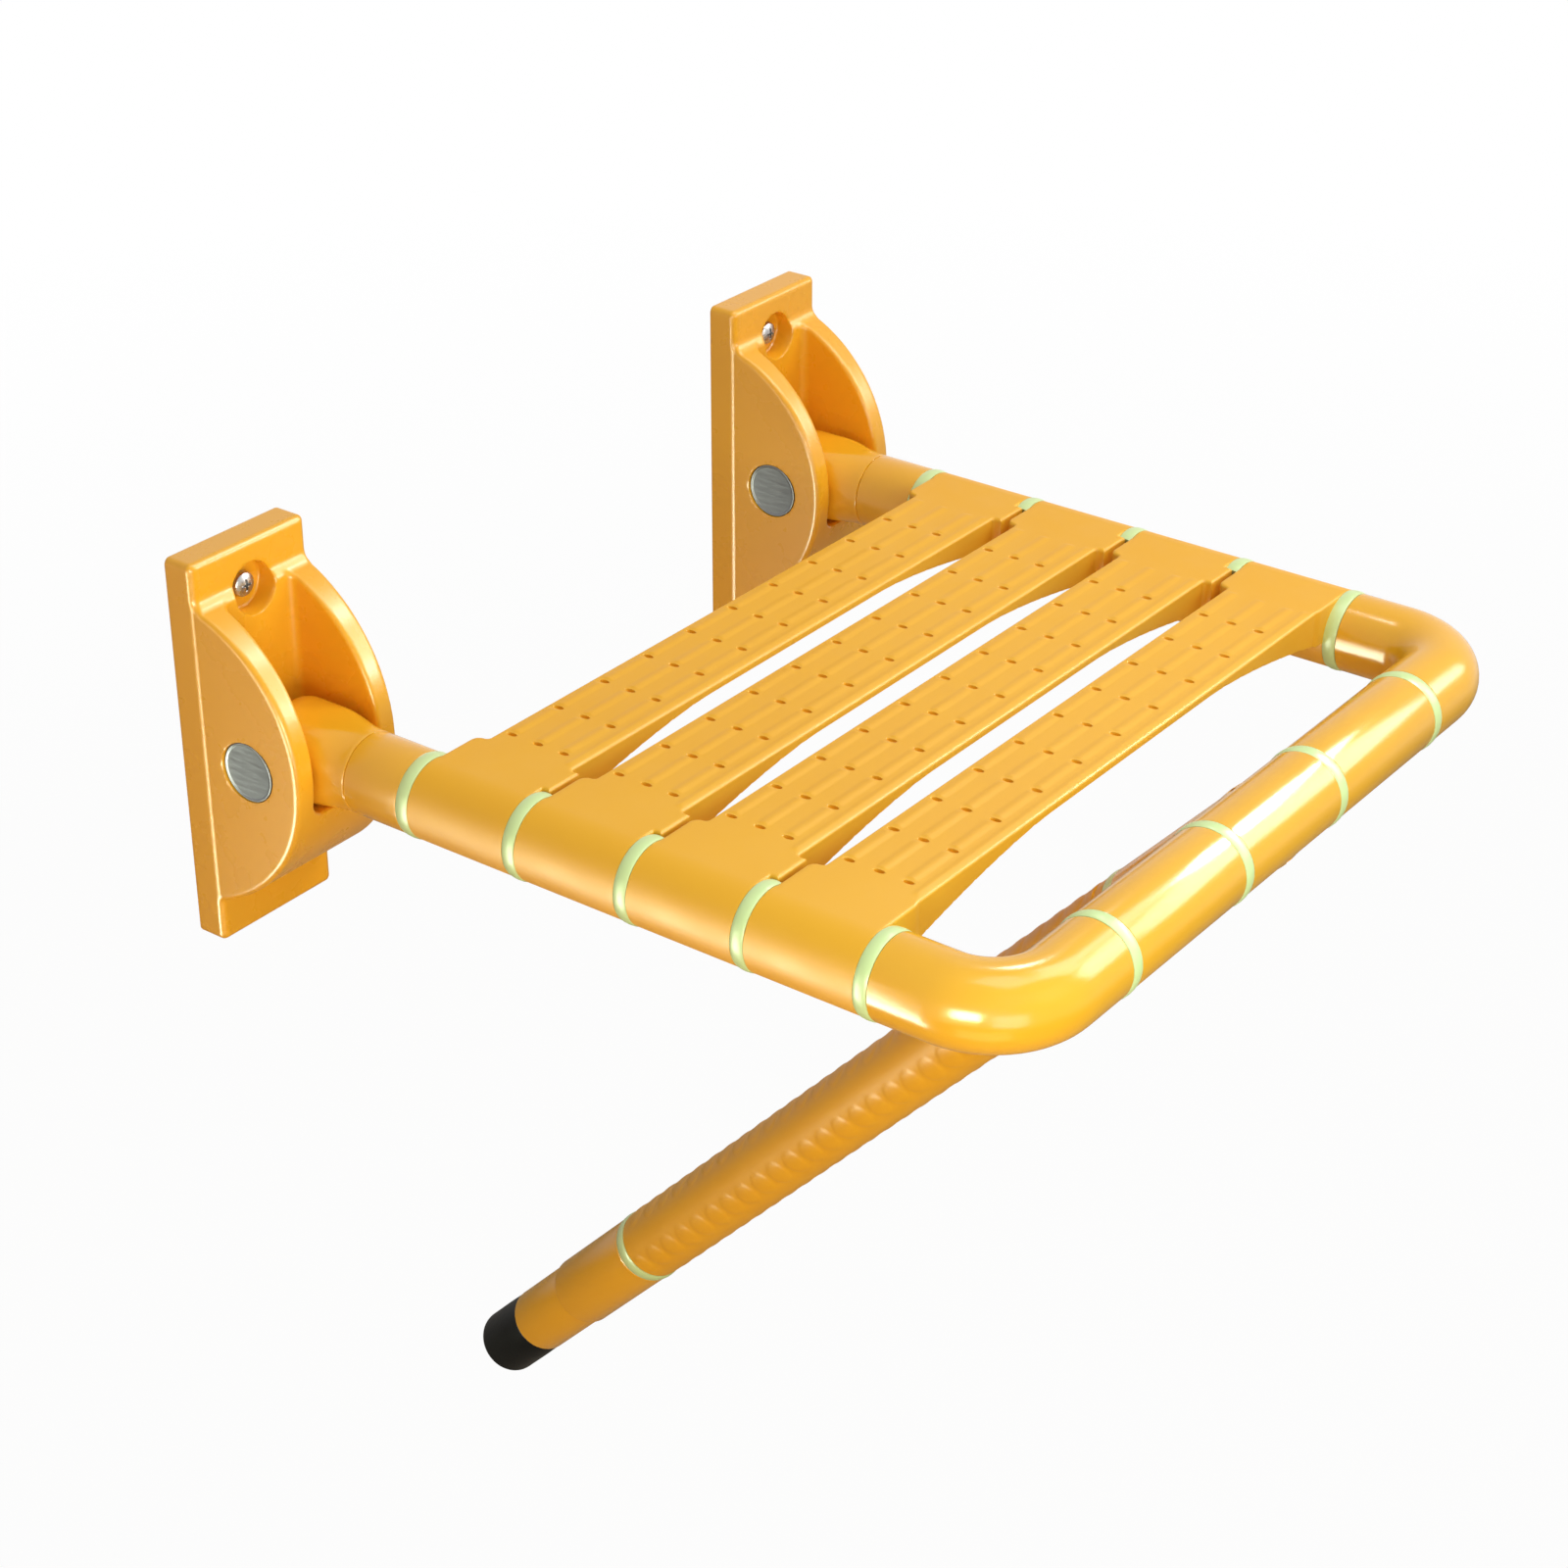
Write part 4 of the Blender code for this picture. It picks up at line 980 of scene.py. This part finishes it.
def foot_mesh():
    """A rubber tip: a slight taper, a rounded rim, and a recess with a boss in its sole."""
    plug_end = FOOT_START - FOOT_PLUG_LENGTH
    sole = FOOT_END - SOLE_RAISE
    floor = FOOT_END - RECESS_DEPTH
    plug = [(0.0, plug_end), (FOOT_PLUG_RADIUS, plug_end, 0.0008), (FOOT_PLUG_RADIUS, FOOT_START, 0.0)]
    wall = [(FOOT_RADIUS - FOOT_TAPER, FOOT_START, 0.0005),
            (FOOT_RADIUS, FOOT_START + FOOT_TAPER_LENGTH, 0.004),
            (FOOT_RADIUS, FOOT_END - FOOT_RIM_RISE, 0.0024), (FOOT_RADIUS - FOOT_RIM, sole, 0.0014)]
    recess = [(RECESS_RADIUS, sole, 0.0008), (RECESS_FLOOR_RADIUS, floor, 0.0018),
              (BOSS_FOOT_RADIUS, floor, 0.0012), (BOSS_RADIUS, FOOT_END - BOSS_SUNK, 0.0010),
              (0.0, FOOT_END - BOSS_CENTRE_SUNK)]
    return finished("foot_form", turned(softened(plug + wall + recess, 0.0005), FACE_SIDES))


def build_leg(mats):
    down = Matrix.Translation((0.0, -PIN_FROM_WALL - BAR_FROM_PIN, 0.0)) @ Matrix.Rotation(LEG_ANGLE, 4, "X")
    along = down @ pointing("-z")
    add_piece("leg_collar", tee_mesh(), mats["nylon"], "leg", ["leg_tee"], down)
    add_piece("leg_grip_sleeve", grip_mesh(), mats["grip"], "leg", ["leg_grip"], along)
    ring = finished("leg_ring_form", turned(ring_profile()))
    for name, node, place in (("leg_top_ring", "leg_ring_upper", LEG_UPPER_RING),
                              ("leg_low_ring", "leg_ring_lower", LEG_LOWER_RING)):
        add_piece(name, ring, mats["ring"], "leg", [node],
                  along @ Matrix.Translation((0, 0, place)))
    sleeve = finished("plain_sleeve_form", turned(sleeve_profile(
        TUBE_RADIUS, CORE_BORE, LEG_LOWER_RING + RING_ROOM, LEG_SLEEVE_END, SLEEVE_END_ROUND)))
    add_piece("leg_plain_sleeve", sleeve, mats["nylon"], "leg", ["leg_sleeve"], along)
    inner = finished("inner_tube_form", turned(sleeve_profile(
        LEG_EXTENSION_RADIUS, CORE_BORE, LEG_SLEEVE_END + PART_GAP, FOOT_START - PART_GAP)))
    add_piece("leg_inner_tube", inner, mats["nylon"], "leg", ["leg_extension"], along)
    add_piece("leg_foot_tip", foot_mesh(), mats["rubber"], "leg", ["leg_foot"], along)


# Studio

FLOOR_RADIUS = 2.6
FLOOR_FADE_START = 1.2
FLOOR_FADE_END = 2.5
FLOOR_COLOUR = (0.30, 0.26, 0.21, 1.0)
FLOOR_TO_CAMERA = 0.97
FLOOR_IN_GLOSS = 0.05
ROOM_COLOUR = (0.28, 0.275, 0.265, 1.0)
WHITE = (1.0, 1.0, 1.0, 1.0)

COOL = (0.75, 0.90, 1.0)
PLAIN = (1.0, 0.97, 0.92)
CREAM = (0.88, 1.0, 0.80)
LIME = (0.72, 0.97, 0.80)
WARM = (1.0, 0.89, 0.78)
AMBER = (1.0, 0.62, 0.28)

SEAT_MIDDLE = Vector((0.0, -0.25, 0.0))
BAR_MIDDLE = Vector((0.05, -0.38, 0.0))
CORNER = Vector((-0.1, -0.38, 0.0))
PLATE_RIM = Vector((-0.2, -0.055, 0.035))
PANEL_DISTANCE = 1.9
PANEL_SIZE = (0.9, 0.9)
BELOW_DISTANCE = 0.85
BELOW_SIZE = (0.5, 0.4)
NEAR_SIZE = (0.25, 0.25)
KEY_DISTANCE = 1.7
KEY_SIZE = (0.36, 0.36)
KEY_GLOSS_DISTANCE = 1.5
KEY_GLOSS_SIZE = (0.78, 0.70)
STRIP_X = -0.6
STRIP_NEAR_END = -0.12
CORNER_GLINT_SIZE = (0.20, 0.15)
RIM_GLINT_DISTANCE = 0.5
RIM_GLINT_SIZE = (0.07, 0.07)

CAMERA_PLACE = (-0.98287, -0.87928, 0.61847)
CAMERA_TURN = -0.9328
CAMERA_DROP = 0.5049
CAMERA_ROLL = 0.0029
CAMERA_LENS = 73.49
SENSOR_WIDTH = 36.0


def dress_nodes(mats):
    """Gives the model's own pieces that stay in view their procedural material."""
    looks = {"frame_tube": "steel", "leg_tube": "steel", "pivot_pin": "steel", "pivot_bush": "liner",
             "thrust_washer": "liner"}
    for name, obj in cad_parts.items():
        for start, look in looks.items():
            if name.startswith(start):
                obj.data.materials.clear()
                obj.data.materials.append(mats[look])


def either(tree, first, second):
    node = tree.nodes.new("ShaderNodeMath")
    node.operation = "MAXIMUM"
    tree.links.new(first, node.inputs[0])
    tree.links.new(second, node.inputs[1])
    return node.outputs["Value"]


def mixed(tree, share, first, second):
    node = tree.nodes.new("ShaderNodeMixShader")
    tree.links.new(share, node.inputs["Fac"])
    tree.links.new(first, node.inputs[1])
    tree.links.new(second, node.inputs[2])
    return node.outputs["Shader"]


def sees_background(tree):
    """1 for the rays that see the white background: the camera's, those off gloss and those through glass."""
    path = tree.nodes.new("ShaderNodeLightPath").outputs
    direct = either(tree, path["Is Camera Ray"], path["Is Glossy Ray"])
    return either(tree, direct, path["Is Transmission Ray"])


def floor_material():
    """White to the camera but for a share that keeps the shadow, dimmer in gloss, and clear at the edge."""
    mat = bpy.data.materials.new("floor_white")
    mat.use_nodes = True
    tree = mat.node_tree
    tree.nodes.clear()
    output = tree.nodes.new("ShaderNodeOutputMaterial")
    diffuse = tree.nodes.new("ShaderNodeBsdfDiffuse")
    diffuse.inputs["Color"].default_value = FLOOR_COLOUR
    glow = tree.nodes.new("ShaderNodeEmission")
    glow.inputs["Strength"].default_value = 1.0
    camera = tree.nodes.new("ShaderNodeLightPath").outputs["Is Camera Ray"]
    share = ramp(tree, camera, 0.0, 1.0, FLOOR_IN_GLOSS, FLOOR_TO_CAMERA)
    white = mixed(tree, share, diffuse.outputs["BSDF"], glow.outputs["Emission"])
    seen = mixed(tree, sees_background(tree), diffuse.outputs["BSDF"], white)
    length = tree.nodes.new("ShaderNodeVectorMath")
    length.operation = "LENGTH"
    tree.links.new(tree.nodes.new("ShaderNodeTexCoord").outputs["Object"], length.inputs[0])
    fade = ramp(tree, length.outputs["Value"], FLOOR_FADE_START, FLOOR_FADE_END, 0.0, 1.0)
    clear = tree.nodes.new("ShaderNodeBsdfTransparent")
    tree.links.new(mixed(tree, fade, seen, clear.outputs["BSDF"]), output.inputs["Surface"])
    return mat


def build_floor():
    """A round pale floor, level with the sole of the upright leg, that fades out at its edge."""
    bm = bmesh.new()
    bmesh.ops.create_circle(bm, cap_ends=True, segments=96, radius=FLOOR_RADIUS)
    mesh = bpy.data.meshes.new("floor")
    bm.to_mesh(mesh)
    bm.free()
    mesh.materials.append(floor_material())
    floor = bpy.data.objects.new("floor", mesh)
    floor.location = (SEAT_MIDDLE.x, SEAT_MIDDLE.y, -FOOT_END)
    bpy.context.collection.objects.link(floor)


def build_world():
    """White to the camera, to metal and to glass. What lights the object is a dim, nearly neutral room."""
    world = bpy.data.worlds.new("studio")
    bpy.context.scene.world = world
    world.use_nodes = True
    tree = world.node_tree
    tree.nodes.clear()
    output = tree.nodes.new("ShaderNodeOutputWorld")
    room = tree.nodes.new("ShaderNodeBackground")
    room.inputs["Color"].default_value = ROOM_COLOUR
    white = tree.nodes.new("ShaderNodeBackground")
    white.inputs["Color"].default_value = WHITE
    both = mixed(tree, sees_background(tree), room.outputs["Background"], white.outputs["Background"])
    tree.links.new(both, output.inputs["Surface"])


def add_panel(name, place, target, size, power, colour, glossy=True, diffuse=True):
    """A soft rectangular lamp facing a point, unseen by the camera.

    Without glossy it gives no highlights, and without diffuse it gives highlights only."""
    data = bpy.data.lights.new(name, "AREA")
    data.shape = "RECTANGLE"
    data.size, data.size_y = size
    data.energy = power
    data.color = colour
    lamp = bpy.data.objects.new(name, data)
    lamp.location = place
    lamp.rotation_euler = (target - place).to_track_quat("-Z", "Y").to_euler()
    lamp.visible_camera = False
    lamp.visible_diffuse = diffuse
    lamp.visible_glossy = glossy
    bpy.context.collection.objects.link(lamp)


def way_to(azimuth, elevation):
    """The direction at this azimuth, from the front towards +X, and this elevation, in degrees."""
    turn = math.radians(azimuth)
    lift = math.radians(elevation)
    return Vector((math.sin(turn) * math.cos(lift), -math.cos(turn) * math.cos(lift), math.sin(lift)))


def from_way(target, distance, way):
    return target + distance * Vector(way).normalized()


def build_panels():
    """Large soft panels round the object."""
    for name, azimuth, elevation, power, colour, glossy in (
            ("panel_right", 60, 55, 17.4, WARM, True), ("panel_top", 0, 80, 8.7, COOL, True),
            ("panel_front_left", -40, -5, 11.0, PLAIN, True), ("panel_left", -80, -5, 4.6, AMBER, True),
            ("panel_back_left", -120, 55, 0.9, WARM, False), ("panel_back", 180, -5, 2.0, WARM, False)):
        place = SEAT_MIDDLE + PANEL_DISTANCE * way_to(azimuth, elevation)
        add_panel(name, place, SEAT_MIDDLE, PANEL_SIZE, power, colour, glossy)
    place = SEAT_MIDDLE + BELOW_DISTANCE * way_to(-60, -38)
    add_panel("panel_below", place, SEAT_MIDDLE, BELOW_SIZE, 1.8, AMBER)


def build_keys():
    """Lamps without highlights on the front corner and bar, and a panel whose highlight follows the bar."""
    for name, place, power in (("near_front", (-0.10, -0.80, 0.30), 0.90),
                               ("near_low", (-0.50, -0.60, 0.05), 0.70),
                               ("near_left", (-0.35, -0.70, 0.35), 0.40)):
        add_panel(name, Vector(place), CORNER, NEAR_SIZE, power, LIME, glossy=False)
    for name, way, power in (("key_high", (0.703, -0.48, 0.52), 3.6), ("key_low", (0.703, -0.68, 0.20), 0.8)):
        place = from_way(BAR_MIDDLE, KEY_DISTANCE, way)
        add_panel(name, place, BAR_MIDDLE, KEY_SIZE, power, LIME, glossy=False)
    place = from_way(BAR_MIDDLE, KEY_GLOSS_DISTANCE, (0.703, -0.5, 0.46))
    add_panel("key_gloss", place, BAR_MIDDLE, KEY_GLOSS_SIZE, 16.0, PLAIN, diffuse=False)


def build_glints():
    """Lamps that give highlights only: the band low on the near arm, the corner's spot and the rim's two.

    The band is one reflection of stacked strips, each with its own brightness."""
    for index, (low, high, far_end, radiance) in enumerate((
            (-0.51, -0.40, 0.22, 26.0), (-0.40, -0.28, 0.15, 25.0), (-0.28, -0.15, 0.14, 20.0),
            (-0.15, -0.04, 0.14, 12.0), (-0.04, 0.08, 0.13, 5.0))):
        middle = Vector((STRIP_X, (STRIP_NEAR_END + far_end) / 2, (low + high) / 2))
        size = (far_end - STRIP_NEAR_END, high - low)
        add_panel(f"strip_{index + 1}", middle, middle + Vector((1.0, 0.0, 0.0)), size,
                  radiance * math.pi * size[0] * size[1], CREAM, diffuse=False)
    add_panel("corner_glint", Vector((STRIP_X, -0.47, 0.03)), Vector((-0.187, -0.374, 0.003)),
              CORNER_GLINT_SIZE, 3.4, CREAM, diffuse=False)
    for name, way, power in (("rim_glint_high", (0.66, -0.35, 0.66), 0.48),
                             ("rim_glint_low", (0.66, -0.72, 0.20), 0.60)):
        place = from_way(PLATE_RIM, RIM_GLINT_DISTANCE, way)
        add_panel(name, place, PLATE_RIM, RIM_GLINT_SIZE, power, PLAIN, diffuse=False)


def build_camera():
    """The photograph's viewpoint."""
    data = bpy.data.cameras.new("camera")
    data.sensor_width = SENSOR_WIDTH
    data.lens = CAMERA_LENS
    camera = bpy.data.objects.new("camera", data)
    camera.matrix_world = (Matrix.Translation(CAMERA_PLACE) @ Matrix.Rotation(CAMERA_TURN, 4, "Z")
                           @ Matrix.Rotation(math.pi / 2 - CAMERA_DROP, 4, "X")
                           @ Matrix.Rotation(CAMERA_ROLL, 4, "Z"))
    bpy.context.collection.objects.link(camera)
    bpy.context.scene.camera = camera


def main():
    scene = bpy.context.scene
    scene.view_settings.view_transform = "Standard"
    mats = make_materials()
    build_brackets(mats)
    build_frame(mats)
    build_rings(mats)
    build_slats(mats)
    build_leg(mats)
    dress_nodes(mats)
    build_floor()
    build_world()
    build_panels()
    build_keys()
    build_glints()
    build_camera()


main()
